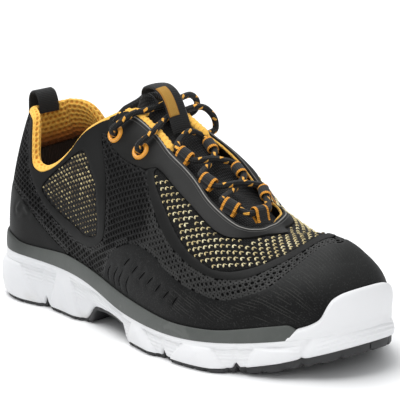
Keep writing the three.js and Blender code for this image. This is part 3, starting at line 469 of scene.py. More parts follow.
def shell(outer, inner, tris):
    """Closed sheet between two point sets over the same triangles, welded where they meet themselves."""
    first, inv = weld(outer)
    outer, inner, tris = outer[first], inner[first], inv[tris]
    tris = tris[(tris[:, 0] != tris[:, 1]) & (tris[:, 1] != tris[:, 2]) & (tris[:, 0] != tris[:, 2])]
    n, e = len(outer), boundary(tris)
    sides = np.concatenate([np.stack([e[:, 1], e[:, 0], e[:, 0] + n], 1), np.stack([e[:, 1], e[:, 0] + n, e[:, 1] + n], 1)])
    return np.concatenate([outer, inner]), np.concatenate([tris, tris[:, ::-1] + n, sides]), first


def grid_faces(rows, cols, wrap=False):
    r, c = np.meshgrid(np.arange(rows - 1), np.arange(cols if wrap else cols - 1), indexing="ij")
    r, c = r.ravel(), c.ravel()
    d = (c + 1) % cols
    return np.stack([r * cols + c, r * cols + d, (r + 1) * cols + d, (r + 1) * cols + c], 1)


def build(name, verts, faces, material, replaces=(), uv=None, attrs=None, sharp=None, ride=True, flip=None):
    """A mesh piece from points in the shoe's millimetres. faces is one array or several, of 3 or 4 corners."""
    faces = [np.asarray(f) for f in (faces if isinstance(faces, (list, tuple)) else [faces]) if len(f)]
    me = bpy.data.meshes.new(name)
    v = put(verts)
    if flip is None:  # faces point out: the sign of the enclosed volume
        vol = 0.0
        for f in faces:
            for k in range(1, f.shape[1] - 1):
                vol += np.einsum("ij,ij->i", v[f[:, 0]], np.cross(v[f[:, k]], v[f[:, k + 1]])).sum()
        flip = vol < 0
    if flip:
        faces = [f[:, ::-1] for f in faces]
    loops = np.concatenate([f.ravel() for f in faces]).astype(np.int32)
    totals = np.concatenate([np.full(len(f), f.shape[1]) for f in faces])
    me.vertices.add(len(v))
    me.vertices.foreach_set("co", v.astype(np.float32).ravel())
    me.loops.add(len(loops))
    me.loops.foreach_set("vertex_index", loops)
    me.polygons.add(len(totals))
    me.polygons.foreach_set("loop_start", np.concatenate([[0], np.cumsum(totals)[:-1]]).astype(np.int32))
    me.polygons.foreach_set("use_smooth", np.ones(len(totals), bool))
    if uv is not None:
        layer = me.uv_layers.new(name="cloth")
        layer.data.foreach_set("uv", (np.asarray(uv, float)[loops] * 0.01).astype(np.float32).ravel())
    for key, values in (attrs or {}).items():
        layer = me.attributes.new(key, "FLOAT", "POINT")
        layer.data.foreach_set("value", np.asarray(values, np.float32))
    me.update(calc_edges=True)
    me.validate()
    if sharp is not None:
        me.set_sharp_from_angle(angle=math.radians(sharp))
    me.materials.append(material)
    ob = bpy.data.objects.new(name, me)
    bpy.context.scene.collection.objects.link(ob)
    if ride:
        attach(ob, "root")
    if replaces:
        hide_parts(*replaces)
    return ob


def tube(points, radius, sides=14, step=1.0, cap=True, twist=0.0):
    """Round cord along a smooth line: points, faces and (length, turn) coordinates."""
    p = spline(points, 0.5)
    d = np.concatenate([[0], np.cumsum(np.linalg.norm(np.diff(p, axis=0), axis=1))])
    n = max(4, int(d[-1] / step))
    at = np.linspace(0, d[-1], n)
    c = np.stack([np.interp(at, d, p[:, k]) for k in range(3)], 1)
    for _ in range(2):
        c[1:-1] = (c[:-2] + 2 * c[1:-1] + c[2:]) / 4
    t = np.gradient(c, axis=0)
    t /= np.linalg.norm(t, axis=1)[:, None]
    u = np.cross(t[0], [0.3, 0.2, 1.0])
    u /= np.linalg.norm(u)
    us = []
    for k in range(n):
        u = u - t[k] * (u @ t[k])
        u /= np.linalg.norm(u)
        us.append(u)
    us = np.array(us)
    ws = np.cross(t, us)
    r = np.broadcast_to(np.asarray(radius(at) if callable(radius) else radius, float), (n,))
    a = np.arange(sides + 1) * TAU / sides
    ring = us[:, None] * np.cos(a)[None, :, None] + ws[:, None] * np.sin(a)[None, :, None]
    v = (c[:, None] + ring * r[:, None, None]).reshape(-1, 3)
    uv = np.stack(np.broadcast_arrays(at[:, None], (a / TAU)[None] * 10.0), -1).reshape(-1, 2)
    f = [grid_faces(n, sides + 1)]
    caps = []
    if cap:
        for k, q in ((0, t[0]), (n - 1, t[-1])):
            m = len(v)
            out = -1 if k == 0 else 1
            v = np.concatenate([v, [c[k] + q * out * r[k] * 0.35]])
            uv = np.concatenate([uv, [[at[k], 5.0]]])
            ids = k * (sides + 1) + np.arange(sides + 1)
            tri = np.stack([ids[:-1], ids[1:], np.full(sides, m)], 1)
            caps.append(tri if k else tri[:, ::-1])
    return v, f + caps, uv, c, at


def join(parts):
    """Several (points, faces list, uv) as one."""
    vs, fs, us, base = [], {3: [], 4: []}, [], 0
    for v, f, u in parts:
        vs.append(v)
        us.append(u)
        for q in f:
            if len(q):
                fs[q.shape[1]].append(q + base)
        base += len(v)
    return np.concatenate(vs), [np.concatenate(fs[k]) for k in (3, 4) if fs[k]], np.concatenate(us)


# ------------------------------------------------------------------ material helper
class Paint:
    def __init__(self, name):
        self.m = bpy.data.materials.new(name)
        self.m.use_nodes = True
        self.t = self.m.node_tree
        self.t.nodes.clear()
        out = self.t.nodes.new("ShaderNodeOutputMaterial")
        self.b = self.t.nodes.new("ShaderNodeBsdfPrincipled")
        self.t.links.new(self.b.outputs[0], out.inputs[0])

    def _in(self, socket, value):
        if isinstance(value, bpy.types.NodeSocket):
            self.t.links.new(value, socket)
        elif value is not None:
            if hasattr(socket.default_value, "__len__") and not hasattr(value, "__len__"):
                value = [value] * len(socket.default_value)
            elif hasattr(value, "__len__") and len(socket.default_value) == 4 and len(value) == 3:
                value = (*value, 1.0)
            socket.default_value = value

    def node(self, kind, inputs=(), **props):
        n = self.t.nodes.new("ShaderNode" + kind)
        for k, v in props.items():
            setattr(n, k, v)
        for k, v in (inputs.items() if isinstance(inputs, dict) else enumerate(inputs)):
            self._in(n.inputs[k], v)
        return n

    def math(self, op, a, b=None, c=None):
        return self.node("Math", [x for x in (a, b, c) if x is not None], operation=op).outputs[0]

    def add(self, a, b):
        return self.math("ADD", a, b)

    def mul(self, a, b):
        return self.math("MULTIPLY", a, b)

    def sub(self, a, b):
        return self.math("SUBTRACT", a, b)

    def step(self, x, lo, hi, a=0.0, b=1.0):
        n = self.node("MapRange", {0: x, 1: lo, 2: hi, 3: a, 4: b}, interpolation_type="SMOOTHSTEP")
        return n.outputs[0]

    def mix(self, f, a, b):
        n = self.node("Mix", {0: f, 6: a, 7: b}, data_type="RGBA")
        return n.outputs[2]

    def noise(self, scale, detail=2.0, rough=0.5, vector=None, distort=0.0):
        n = self.node("TexNoise", {"Scale": scale, "Detail": detail, "Roughness": rough, "Distortion": distort})
        self._in(n.inputs["Vector"], vector if vector is not None else self.place())
        return n.outputs[0]

    def voronoi(self, scale, vector=None, feature="F1", random=1.0):
        n = self.node("TexVoronoi", {"Scale": scale, "Randomness": random}, feature=feature)
        self._in(n.inputs["Vector"], vector if vector is not None else self.place())
        return n.outputs

    def place(self):
        return self.node("TexCoord").outputs["Object"]

    def chart(self):
        """(X, G) in millimetres, each as a number."""
        sep = self.node("SeparateXYZ", [self.node("UVMap", uv_map="cloth").outputs[0]])
        return self.mul(sep.outputs[0], 100.0), self.mul(sep.outputs[1], 100.0)

    def attr(self, name):
        return self.node("Attribute", attribute_name=name).outputs["Fac"]

    def vec(self, x=0.0, y=0.0, z=0.0):
        return self.node("CombineXYZ", [x, y, z]).outputs[0]

    def lattice(self, x, g, a, b):
        """Staggered cells: offsets from the nearest cell's middle, in units of its half pitch."""
        row = self.math("FLOOR", self.math("DIVIDE", g, b))
        shift = self.mul(self.math("FLOORED_MODULO", row, 2.0), 0.5)
        cx = self.sub(self.math("FRACT", self.add(self.math("DIVIDE", x, a), shift)), 0.5)
        cy = self.sub(self.math("FRACT", self.math("DIVIDE", g, b)), 0.5)
        return self.mul(cx, 2.0), self.mul(cy, 2.0)

    def bump(self, height, distance, strength=1.0, normal=None):
        n = self.node("Bump", {"Height": height, "Distance": distance * 0.001, "Strength": strength})
        if normal is not None:
            self._in(n.inputs["Normal"], normal)
        return n.outputs[0]

    def finish(self, colour, rough, normal=None, spec=0.5, sheen=0.0, sheen_rough=0.5, coat=0.0, coat_rough=0.3, tint=(1, 1, 1)):
        i = self.b.inputs
        self._in(i["Base Color"], colour)
        self._in(i["Roughness"], rough)
        if normal is not None:
            self._in(i["Normal"], normal)
        i["Specular IOR Level"].default_value = spec
        i["Sheen Weight"].default_value = sheen
        i["Sheen Roughness"].default_value = sheen_rough
        i["Sheen Tint"].default_value = (*tint, 1)
        i["Coat Weight"].default_value = coat
        i["Coat Roughness"].default_value = coat_rough
        return self.m


def mat_film(name, colour, rough=0.42, grain=0.02, knit=0.012, streaks=False, spec=0.42, rim=False):
    p = Paint(name)
    x, g = p.chart()
    cloud = p.noise(38.0, 3.0)
    fine = p.noise(900.0, 2.0)
    dark = tuple(c * 0.80 for c in colour)
    light = tuple(min(1, c * 1.28) for c in colour)
    col = p.mix(p.step(cloud, 0.3, 0.7), dark, light)
    cx, cy = p.lattice(x, g, 2.4, 1.3)
    cell = p.math("SQRT", p.add(p.mul(cx, cx), p.mul(cy, cy)))
    height = p.add(p.mul(p.step(cell, 0.9, 0.2), knit), p.mul(fine, grain))
    r = p.add(rough - 0.06, p.mul(fine, 0.12))
    if streaks:
        lane = p.math("FRACT", p.math("DIVIDE", p.add(g, p.mul(p.noise(9.0, 2.0, vector=p.vec(x, g, 0.0)), 0.6)), 1.75))
        lane_no = p.math("FLOOR", p.math("DIVIDE", g, 1.75))
        line = p.mul(p.step(lane, 0.32, 0.46), p.step(lane, 0.66, 0.52))
        broken = p.noise(1.0, 1.0, vector=p.vec(p.mul(x, 0.085), p.mul(lane_no, 3.7), 0.0))
        zone = p.attr("streak")
        line = p.mul(p.mul(line, p.step(broken, 0.44, 0.56)), zone)
        col = p.mix(p.mul(line, 0.42), col, (0.066, 0.066, 0.060))
        height = p.add(height, p.mul(line, 0.05))
        z = p.node("SeparateXYZ", [p.place()]).outputs[2]
        # painted highlight: on the toe's top the fine ribs are coloured lighter; their bump below is real relief
        crown = p.step(z, 0.040, 0.066)
        ribs = p.add(p.mul(p.math("SINE", p.mul(p.node("SeparateXYZ", [p.place()]).outputs[1], TAU * 1000 / 1.45)), 0.5), 0.5)
        toe = p.mul(crown, p.step(x, 236.0, 262.0))
        combed = p.mul(p.sub(1.0, p.mul(p.step(x, 258.0, 284.0), 0.85)), p.step(p.noise(34.0, 2.0), 0.30, 0.62))
        ribs = p.mul(ribs, combed)
        speck = p.step(p.noise(1250.0, 1.0), 0.56, 0.72)
        col = p.mix(p.mul(toe, p.add(0.36, p.mul(ribs, 0.36))), col, (0.046, 0.047, 0.046))
        col = p.mix(p.mul(speck, 0.30), col, (0.060, 0.062, 0.060))
        height = p.add(height, p.mul(p.mul(ribs, toe), 0.055))
        # painted shade: the film is coloured almost black inside its slits
        col = p.mix(p.mul(p.attr("slit"), 0.45), col, (0.002, 0.002, 0.002))
    if rim:
        d = p.attr("rim")
        first = p.mul(p.step(d, 1.0, 1.2), p.step(d, 1.75, 1.5))
        second = p.mul(p.step(d, 2.5, 2.7), p.step(d, 3.1, 2.9))
        col = p.mix(p.mul(first, 0.8), col, (0.30, 0.29, 0.27))
        col = p.mix(p.mul(second, 0.5), col, (0.10, 0.10, 0.095))
        height = p.sub(height, p.add(p.mul(first, 0.05), p.mul(second, 0.15)))
    return p.finish(col, r, p.bump(height, 1.0), spec=spec)


def mat_knit(name, colour, light, pitch=(2.2, 1.2), depth=0.16, spec=0.25):
    p = Paint(name)
    x, g = p.chart()
    cx, cy = p.lattice(x, g, *pitch)
    cell = p.math("SQRT", p.add(p.mul(cx, cx), p.mul(cy, cy)))
    up_ = p.step(cell, 1.0, 0.25)
    fuzz = p.noise(1500.0, 2.0)
    col = p.mix(p.mul(up_, p.step(fuzz, 0.2, 0.8)), colour, light)
    height = p.add(p.mul(up_, depth), p.mul(fuzz, 0.05))
    return p.finish(col, 0.85, p.bump(height, 1.0), spec=spec, sheen=0.12, sheen_rough=0.4)


def mat_plain(name, colour, rough, vary=0.12, grain=0.03, scale=600.0, spec=0.5, coat=0.0, sheen=0.0, cloud=25.0):
    p = Paint(name)
    c = p.noise(cloud, 3.0)
    f = p.noise(scale, 3.0)
    col = p.mix(p.step(c, 0.3, 0.7), tuple(v * (1 - vary) for v in colour), tuple(min(1.0, v * (1 + vary * 0.6)) for v in colour))
    r = p.add(rough - 0.05, p.mul(p.add(p.mul(c, 0.5), p.mul(f, 0.5)), 0.1))
    return p.finish(col, r, p.bump(f, grain), spec=spec, coat=coat, sheen=sheen)


M_EYESTAY = mat_film("film_eyestay", (0.0115, 0.0115, 0.011), 0.46, 0.015, 0.004, spec=0.12, rim=True)
M_FILM = mat_film("film_band", (0.009, 0.009, 0.0088), 0.50, 0.02, 0.010, spec=0.10)
M_FOREFOOT = mat_film("film_forefoot", (0.0062, 0.0062, 0.0062), 0.56, 0.03, 0.02, streaks=True, spec=0.12)
M_KNIT = mat_knit("knit_black", (0.004, 0.004, 0.004), (0.018, 0.018, 0.018), spec=0.12)


def mesh_paint():
    p = Paint("mesh_black")
    c, f = p.noise(25.0, 3.0), p.noise(900.0, 2.0)
    col = p.mix(p.step(c, 0.3, 0.7), (0.0040, 0.0040, 0.0040), (0.0068, 0.0068, 0.0066))
    col = p.mix(p.attr("tone"), col, (0.026, 0.026, 0.025))
    return p.finish(col, p.add(0.50, p.mul(f, 0.12)), p.bump(f, 0.04), spec=0.22)


M_MESH = mesh_paint()
M_INSIDE = mat_knit("lining_dark", (0.046, 0.032, 0.025), (0.125, 0.090, 0.072), (1.6, 1.4), 0.12)


# ------------------------------------------------------------------ upper: knit shell
def upper_grid(ns=600, nv=76):
    s = np.linspace(0, TAU, ns + 1)
    v = np.concatenate([[-0.075], np.linspace(0, 1, nv + 1)])
    ss, vv = np.meshgrid(s, v, indexing="ij")
    q = grid_faces(ns + 1, nv + 2)
    tris = np.concatenate([q[:, [0, 1, 2]], q[:, [0, 2, 3]]])
    return np.stack([ss.ravel(), vv.ravel()], 1), tris


params, tris = upper_grid()
params, tris, _ = clip(params, tris, cut_field(params[:, 0], params[:, 1]))
XG = np.stack(to_chart(params[:, 0], params[:, 1]), 1)


def side_of(xg, poly):
    out = np.full(len(xg), -1e3)
    for k in (-1, 1):
        m = (xg[:, 1] < 0) == (k < 0)
        out[m] = signed_distance(xg[m], poly[k])
    return out


F_WINDOW = signed_distance(XG, WINDOW_POLY)
F_FRAME_IN = signed_distance(XG, FRAME_POLY)
F_FORE = signed_distance(XG, FOREFOOT_POLY)
F_TEAR = side_of(XG, TEAR_POLY)
F_QUARTER = np.minimum(side_of(XG, QUARTER_POLY), -F_TEAR)
F_EYE = signed_distance(XG, EYESTAY_POLY)
S_FOLD = np.minimum(params[:, 0], TAU - params[:, 0])
COUNTER_V = np.interp(S_FOLD, [c[0] for c in COUNTER], [c[1] for c in COUNTER])
F_COUNTER = (COUNTER_V - params[:, 1]) * 105.0
F_FRAME = np.minimum(np.minimum(F_FRAME_IN, -F_WINDOW), -F_EYE)
F_FILM = np.maximum.reduce([F_FRAME, F_QUARTER, F_COUNTER])
F_MESH = -np.maximum.reduce([F_WINDOW, F_TEAR, F_FILM, F_EYE, F_FORE])

depth = np.where(F_MESH > -1.0, -1.05 * smooth((F_MESH + 1.0) / 0.8), 0.0)
glass = np.maximum(F_WINDOW, F_TEAR)
depth = np.minimum(depth, -0.38 * smooth((glass + 0.8) / 0.8))
outer = form(params[:, 0], params[:, 1], depth)
inner = form(params[:, 0], params[:, 1], -WALL)
# short skirt below the feather line, inside the rand
verts, faces, first = shell(outer, inner, tris)
xg2 = np.concatenate([XG[first], XG[first]])
n_tri = len(tris)
upper = build("upper_knit", verts, faces, M_KNIT, replaces=["upper"], uv=xg2, sharp=50)
upper.data.materials.append(M_INSIDE)
inside_faces = np.zeros(len(upper.data.polygons), np.int32)
half = len(first)
corner = np.zeros(len(upper.data.loops), np.int32)
upper.data.loops.foreach_get("vertex_index", corner)
inside_faces[:] = (corner.reshape(-1, 3) >= half).sum(1) >= 2
upper.data.polygons.foreach_set("material_index", inside_faces)


def near_line(xg, points, side):
    """Distance in millimetres from a short given line on one side of the shoe."""
    c = spline(charted(points, side), 0.6)
    best = np.full(len(xg), 1e3)
    m = np.abs(xg[:, 0] - c[:, 0].mean()) < 30
    if m.any():
        best[m] = np.sqrt(((xg[m][:, None] - c[None]) ** 2).sum(-1)).min(1)
    return best


def flex_relief(q):
    """Slits and soft flex creases of the midfoot film, on both sides."""
    out = np.zeros(len(q))
    for side in (-1, 1):
        for a_, b_ in SLITS:
            out -= 0.42 * smooth(1.0 - near_line(q[:, 2:4], [a_, ((a_[0] + b_[0]) / 2, (a_[1] + b_[1]) / 2 + 0.001), b_], side) / 3.2)
        for k, line in enumerate(FLEX):
            d_ = near_line(q[:, 2:4], line, side)
            out -= 0.40 * smooth(1.0 - d_ / 3.0)
    return np.clip(out, -0.85, 0.5)


def counter_relief(q):
    out = np.zeros(len(q))
    for side in (-1, 1):
        d_ = near_line(q[:, 2:4], PEAK, side)
        out += 0.75 * smooth(1.25 - d_ / 1.9) - 0.35 * smooth(1.2 - np.abs(d_ - 3.6) / 2.0)
    return out


def overlay(name, field, material, low, high, attrs=None, edge=0.9, sharp=50, relief=None):
    """Film laid on the knit: a closed sheet whose rim is rounded down."""
    q, t, f = clip(np.column_stack([params, XG, field]), tris, field)
    s, v, d = q[:, 0], q[:, 1], q[:, 4]
    off = lerp(high - 0.22, high, smooth(d / edge))
    if relief:
        off = off + relief(q) * smooth((v + 0.01) / 0.03)
    vv, ff, fi = shell(form(s, v, off), form(s, v, low), t)
    uv = np.concatenate([q[fi][:, 2:4]] * 2)
    extra = {k: np.concatenate([fn(q[fi])] * 2) for k, fn in (attrs or {}).items()}
    return build(name, vv, ff, material, uv=uv, attrs=extra, sharp=sharp)


def streak_zone(q):
    x, g = q[:, 2], q[:, 3]
    return smooth((x - 196) / 16) * smooth((q[:, 4] - 1.5) / 3.0) * smooth((q[:, 1] - 0.02) / 0.06) * smooth((292 - x) / 12)


# mask of the painted shade inside the midfoot film's slits
def slit_shade_zone(q):
    out = np.zeros(len(q))
    for side in (-1, 1):
        for a_, b_ in SLITS:
            out = np.maximum(out, smooth(1.3 - near_line(q[:, 2:4], [a_, ((a_[0] + b_[0]) / 2, (a_[1] + b_[1]) / 2 + 0.001), b_], side) / 0.9))
    return out


def throat_distance(q):
    p_ = form(q[:, 0], np.maximum(q[:, 1], 0))
    return np.where((p_[:, 2] > 60) & (p_[:, 0] > 121), -signed_distance(p_[:, :2], THROAT_POLY), 50.0)


overlay("eyestay_film", F_EYE, M_EYESTAY, -0.9, 0.85, edge=1.4, attrs={"rim": throat_distance})
overlay("window_frame_film", np.minimum(F_FRAME, F_FRAME_IN), M_FILM, -1.1, 0.35)
overlay("quarter_film", F_QUARTER, M_FILM, -1.1, 0.35)
overlay("heel_counter_film", F_COUNTER, M_FILM, -1.1, 0.38, relief=counter_relief)
def slit_lines():
    """The midfoot film's narrow cuts and flex lines: short dark threads of shadow sunk in soft hollows."""
    parts = []
    for side in (-1, 1):
        lines = [([a_, ((a_[0] + b_[0]) / 2, (a_[1] + b_[1]) / 2 + 0.001), b_], 0.39, 0.06) for a_, b_ in SLITS] + [(line, 0.30, 0.05) for line in FLEX]
        for line, wide, sunk in lines:
            line = np.array(line)
            if len(line) == 3 and wide > 0.4:
                line = line[1] + (line - line[1]) * 1.3
            pts = spline(line * [150, 100], 0.8) / [150, 100]
            s = pts[:, 0] if side < 0 else TAU - pts[:, 0]
            q_ = np.zeros((len(pts), 5))
            q_[:, 2], q_[:, 3] = to_chart(s, pts[:, 1])
            c = form(s, pts[:, 1], 0.34 + sunk + flex_relief(q_))
            long_ = np.linalg.norm(np.diff(c, axis=0), axis=1).sum()
            v, f, uv, _, _ = tube(c, lambda at, L=long_, w=wide: w * np.sqrt(np.maximum(np.sin(np.pi * np.clip(at / L, 0.02, 0.98)), 0.02)), 8, 0.8)
            parts.append((v, f, uv))
    return join(parts)


overlay("forefoot_film", F_FORE, M_FOREFOOT, -1.25, 0.34, attrs={"streak": streak_zone, "slit": slit_shade_zone}, relief=flex_relief)
# black threads that stand for the painted shadow in the slits and flex creases
M_SLIT_SHADOW = mat_plain("slit_shadow_black", (0.0012, 0.0012, 0.0012), 0.9, 0.15, 0.03, 700.0, 0.05)
v, f, uv = slit_lines()
build("forefoot_slit_shadows", v, f, M_SLIT_SHADOW, uv=uv, sharp=60)


# ------------------------------------------------------------------ sole
BLOCKS = {  # foot from/to, raised face from/to at its top, top height, ramps of both ends
    -1: [(-20, 58, -20, 36, 25, 2, 3), (64, 101, 76, 88, 29, 3, 14), (156, 193.5, 164, 172, 17, 4, 2.5), (199, 245.5, 216, 233, 15.5, 2.5, 2.5), (250.5, 280, 259, 278, 18.5, 2.5, 2), (283, 330, 284, 330, 24, 2, 2)],
    1: [(-20, 56, -20, 34, 25, 2, 3), (62, 97, 73, 85, 29, 3, 14), (150, 187.5, 158, 167, 17, 5, 2.5), (193, 238.5, 208, 226, 15.5, 2.5, 2.5), (243.5, 277, 252, 272, 18.5, 2.5, 2), (280, 330, 282, 330, 24, 2, 2)],
}
UNDER = dict(x=[0, 61, 104, 118, 140, 154, 196, 248, 281, 300], z=[8, 8, 10, 13, 12.8, 10.5, 6.5, 7.4, 13.2, 18])
STEP = dict(x=[0, 100, 200, 240, 270, 300], z=[2.2, 2.2, 2.4, 2.8, 4.6, 5.4])


def ground(x):
    return 13.5 * np.clip((x - 228) / 72, 0, 1.4) ** 2 + 2.2 * np.clip((14 - x) / 14, 0, 1.6) ** 2


def footing(x, side):
    return np.maximum.reduce([np.minimum(smooth((x - b[0] + b[5]) / b[5]), smooth((b[1] + b[6] - x) / b[6])) for b in BLOCKS[side]])


def bottom_of(x, side):
    return lerp(tab(UNDER, "z", x), ground(x) + tab(STEP, "z", x), footing(x, side))


def by_side(s, fn):
    """fn(x, side) evaluated on the side each station lies on."""
    x = plan(s)[0]
    return np.where(np.sin(s) >= 0, fn(x, -1), fn(x, 1))


def panels(x, z, side):
    mask, roof = np.zeros_like(x + z), np.zeros_like(x + z)
    for b in BLOCKS[side]:
        t = np.clip(z / b[4], 0, 1)
        lo, hi = lerp(b[0] + 1, b[2], t), lerp(b[1] - 1, b[3], t)
        m = np.minimum(np.minimum(smooth((x - lo) / 1.7 + 0.5), smooth((hi - x) / 1.7 + 0.5)), smooth((b[4] - z) / 2.0))
        u, r = np.clip((x - lo) / (hi - lo), 0, 1), lerp(0.84, 0.48, t)
        crest = 1 - np.abs(u - r) / np.where(u < r, r, 1 - r)
        roof = np.where(m > mask, crest, roof)
        mask = np.maximum(mask, m)
    return mask, roof


def side_offset(s, z, t):
    x = plan(s)[0] + 0 * z
    heel, toe = smooth((70 - x) / 60), smooth((x - 262) / 30)
    base = 2.4 + (1.5 + 2.2 * heel) * np.sin(np.pi * np.minimum(t * 0.75, 1)) ** 1.2
    out = np.zeros_like(x)
    for side in (-1, 1):
        m, roof = panels(x, z, side)
        d = tab(SOLE, "zr", x) - z
        rib = 0.17 * np.sin(TAU * d / 2.15) * (1 - m) * smooth((d - 1.4) / 0.9) * smooth((15 - d) / 3) * smooth((284 - x) / 8)
        o = base - 2.0 * (1 - toe) * (1 - m) * smooth((t - 0.1) / 0.2) + 0.6 * toe + (1.5 * roof - 0.45) * m * (1 - smooth((x - 280) / 6)) * smooth((t - 0.12) / 0.3) + rib
        up_ = z - bottom_of(x, side)
        o = o + 0.2 * np.sin(TAU * (up_ - 0.10 * (x - 285)) / 2.5) * smooth((x - 286) / 6) * smooth((up_ - 2.5) / 1.5) * smooth((14.5 - up_) / 2)
        o = o - 1.3 * np.exp(-(((x - 281.5 - 0.28 * (z - 12)) / 1.5) ** 2)) * smooth((27 - z) / 6)
        out = np.where((np.sin(s) >= 0) == (side < 0), o, out)
    return out


def even_stations(n, lo=0.0, hi=TAU):
    s = np.linspace(lo, hi, 6001)
    x, y = plan(s)
    d = np.concatenate([[0], np.cumsum(np.hypot(np.diff(x), np.diff(y)))])
    return np.interp(np.linspace(0, d[-1], n), d, s), np.linspace(0, d[-1], n)


def plus(s, off, z):
    x, y = plan(s)
    nx, ny = outward(s)
    return np.stack(np.broadcast_arrays(x + nx * off, y + ny * off, z), -1)


def midsole_mesh():
    s, run = even_stations(641)
    s, run = s[:-1], run[:-1]
    a = np.degrees(s)
    zt, zb = tab(SOLE, "zr", plan(s)[0]), by_side(s, bottom_of)
    ramp = smooth((34.6 - np.abs(a - 180)) / 5.2)
    zg = lerp(zt, np.maximum(zt, tab(GUARD, "z", np.clip(a, 150, 210), "a")), ramp)
    h = zg - zt
    side0 = side_offset(s, zt, 0.0 * s)
    rows = [plus(s, -6.0, zb + 0.6), plus(s, -6.0, zt - 0.3), plus(s, 0.15, zt - 0.2), wall_at(s, lerp(zt - 0.15, zg - 0.8, smooth(h / 2)), 0.15 + 0 * s)]
    n_guard = 26
    for w in np.linspace(1, 0, n_guard):
        edge = np.clip((w * h - (h - 3.0)) / 3.0, 0, 1) * smooth(h / 3)
        off = lerp(3.35, 0.7, 1 - np.sqrt(np.maximum(1 - edge**2.6, 0)))
        off = lerp(side0, off, smooth(h / 3) * smooth(w / 0.22 + 0.0))
        up_ = zt + w * h - zb
        x = plan(s)[0]
        off = off + 0.18 * np.sin(TAU * (up_ - 0.10 * (x - 285)) / 2.5) * smooth((x - 286) / 6) * smooth((14.5 - up_) / 2)
        rows.append(wall_at(s, zt + w * h, off))
    t = np.linspace(0, 1, 62)[1:]
    for k in t:
        z = lerp(zt, zb, k)
        e = np.clip(1 - (z - zb) / 1.9, 0, 1)
        rows.append(plus(s, side_offset(s, z, k + 0 * s) - 1.3 * (1 - np.sqrt(np.maximum(1 - e * e, 0))), z))
    rows.append(plus(s, -6.0, zb + 0.1))
    g = np.array(rows)
    n, m = g.shape[:2]
    uv = np.stack(np.broadcast_arrays(run[None], g[..., 2]), -1).reshape(-1, 2)
    f = np.concatenate([grid_faces(n, m, wrap=True), np.stack([(n - 1) * m + np.arange(m), (n - 1) * m + (np.arange(m) + 1) % m, (np.arange(m) + 1) % m, np.arange(m)], 1)])
    return g.reshape(-1, 3), f, uv


def foam():
    p = Paint("foam_white")
    spot = p.noise(14.0, 4.0, 0.6)
    fine = p.noise(420.0, 3.0)
    z = p.node("SeparateXYZ", [p.place()]).outputs[2]
    low = p.step(z, 0.012, 0.0)
    col = p.mix(p.step(spot, 0.35, 0.7), (0.665, 0.67, 0.685), (0.725, 0.725, 0.73))
    col = p.mix(p.mul(low, p.step(p.noise(60.0, 4.0), 0.45, 0.8)), col, (0.56, 0.55, 0.525))
    # painted light: the same foam is coloured lighter towards the forefoot and toe guard, where it is lit more
    forefoot_light = p.step(p.node("SeparateXYZ", [p.place()]).outputs[0], 0.0, 0.075)
    col = p.mix(p.mul(forefoot_light, 0.85), col, (0.80, 0.80, 0.81))
    r = p.add(0.44, p.mul(fine, 0.14))
    return p.finish(col, r, p.bump(fine, 0.035), spec=0.4)


M_FOAM = foam()
v, f, uv = midsole_mesh()
build("midsole_foam", v, f, M_FOAM, replaces=["midsole"], uv=uv, sharp=38)


def sections(list_of_rings, closed_ends=True):
    """Closed rings of one count lofted along, ends fanned shut."""
    g = np.array(list_of_rings)
    n, m = g.shape[:2]
    v = g.reshape(-1, 3)
    f = [grid_faces(n, m, wrap=True)]
    if closed_ends:
        for k in (0, n - 1):
            c = len(v)
            v = np.concatenate([v, [g[k].mean(0)]])
            ids = k * m + np.arange(m)
            tri = np.stack([ids, np.roll(ids, -1), np.full(m, c)], 1)
            f.append(tri[:, ::-1] if k == 0 else tri)
    return v, f


def tread(x, y):
    """1 in the grooves of the tread."""
    mid = tab(LAST, "mid", x)
    d = np.abs(y - mid)
    ph = np.mod((x + 0.45 * d) / 9.0, 1.0)
    cross = smooth((0.13 - np.abs(ph - 0.5)) / 0.05)
    along_ = smooth((1.2 - np.abs(d - 16 - 1.5 * np.sin(x / 9.0))) / 0.6)
    return np.maximum(cross, along_)


def outsole_mesh():
    s = even_stations(420, 0.004, np.pi - 0.004)[0]
    x = plan(s)[0]
    u = np.concatenate([[0], np.linspace(0.012, 0.988, 74), [1]])
    zl, zm = bottom_of(x, -1), bottom_of(x, 1)

    def edge(inset, lift, side):
        ss = s if side < 0 else TAU - s
        zb = bottom_of(x, side)
        f = footing(x, side)
        z0 = lerp(zb - GAP - 2.4, ground(x), f)
        one = np.ones_like(s)
        p = plus(ss, side_offset(ss, zb, one) - 0.2 - inset, lerp(z0, zb - GAP, lift))
        g = tread(p[:, 0], p[:, 1]) * f
        p2 = plus(ss, side_offset(ss, zb, one) - 0.2 - inset - 1.5 * g * (1 - lift), p[:, 2] + 0 * g)
        return p2

    bl, bm = edge(2.0, 0.0, -1), edge(2.0, 0.0, 1)
    bottom = bl[:, None] + (bm - bl)[:, None] * u[None, :, None]
    roof_ = np.minimum(lerp(zl[:, None], zm[:, None], u[None]) - GAP - 0.4, 90)
    g = tread(bottom[..., 0], bottom[..., 1])
    f2 = lerp(footing(x, -1)[:, None], footing(x, 1)[:, None], u[None])
    bottom[..., 2] = np.minimum(bottom[..., 2] + 2.0 * g * f2, roof_)
    rings_ = []
    e1, e2, e3 = edge(1.3, 0.25, 1), edge(1.1, 0.6, 1), edge(1.1, 1.0, 1)
    l1, l2, l3 = edge(1.3, 0.25, -1), edge(1.1, 0.6, -1), edge(1.1, 1.0, -1)
    top_u = np.linspace(0.04, 0.96, 12)[::-1]
    top = l3[:, None] + (e3 - l3)[:, None] * top_u[None, :, None]
    g = np.concatenate([bottom, e1[:, None], e2[:, None], e3[:, None], top, l3[:, None], l2[:, None], l1[:, None]], 1)
    v, f = sections(g)
    return v, f, v[:, :2]


M_RUBBER = mat_plain("rubber_black", (0.030, 0.030, 0.031), 0.62, 0.25, 0.06, 500.0, 0.45, cloud=60.0)
v, f, uv = outsole_mesh()
build("outsole_rubber", v, f, M_RUBBER, replaces=["outsole"], uv=uv, sharp=35)


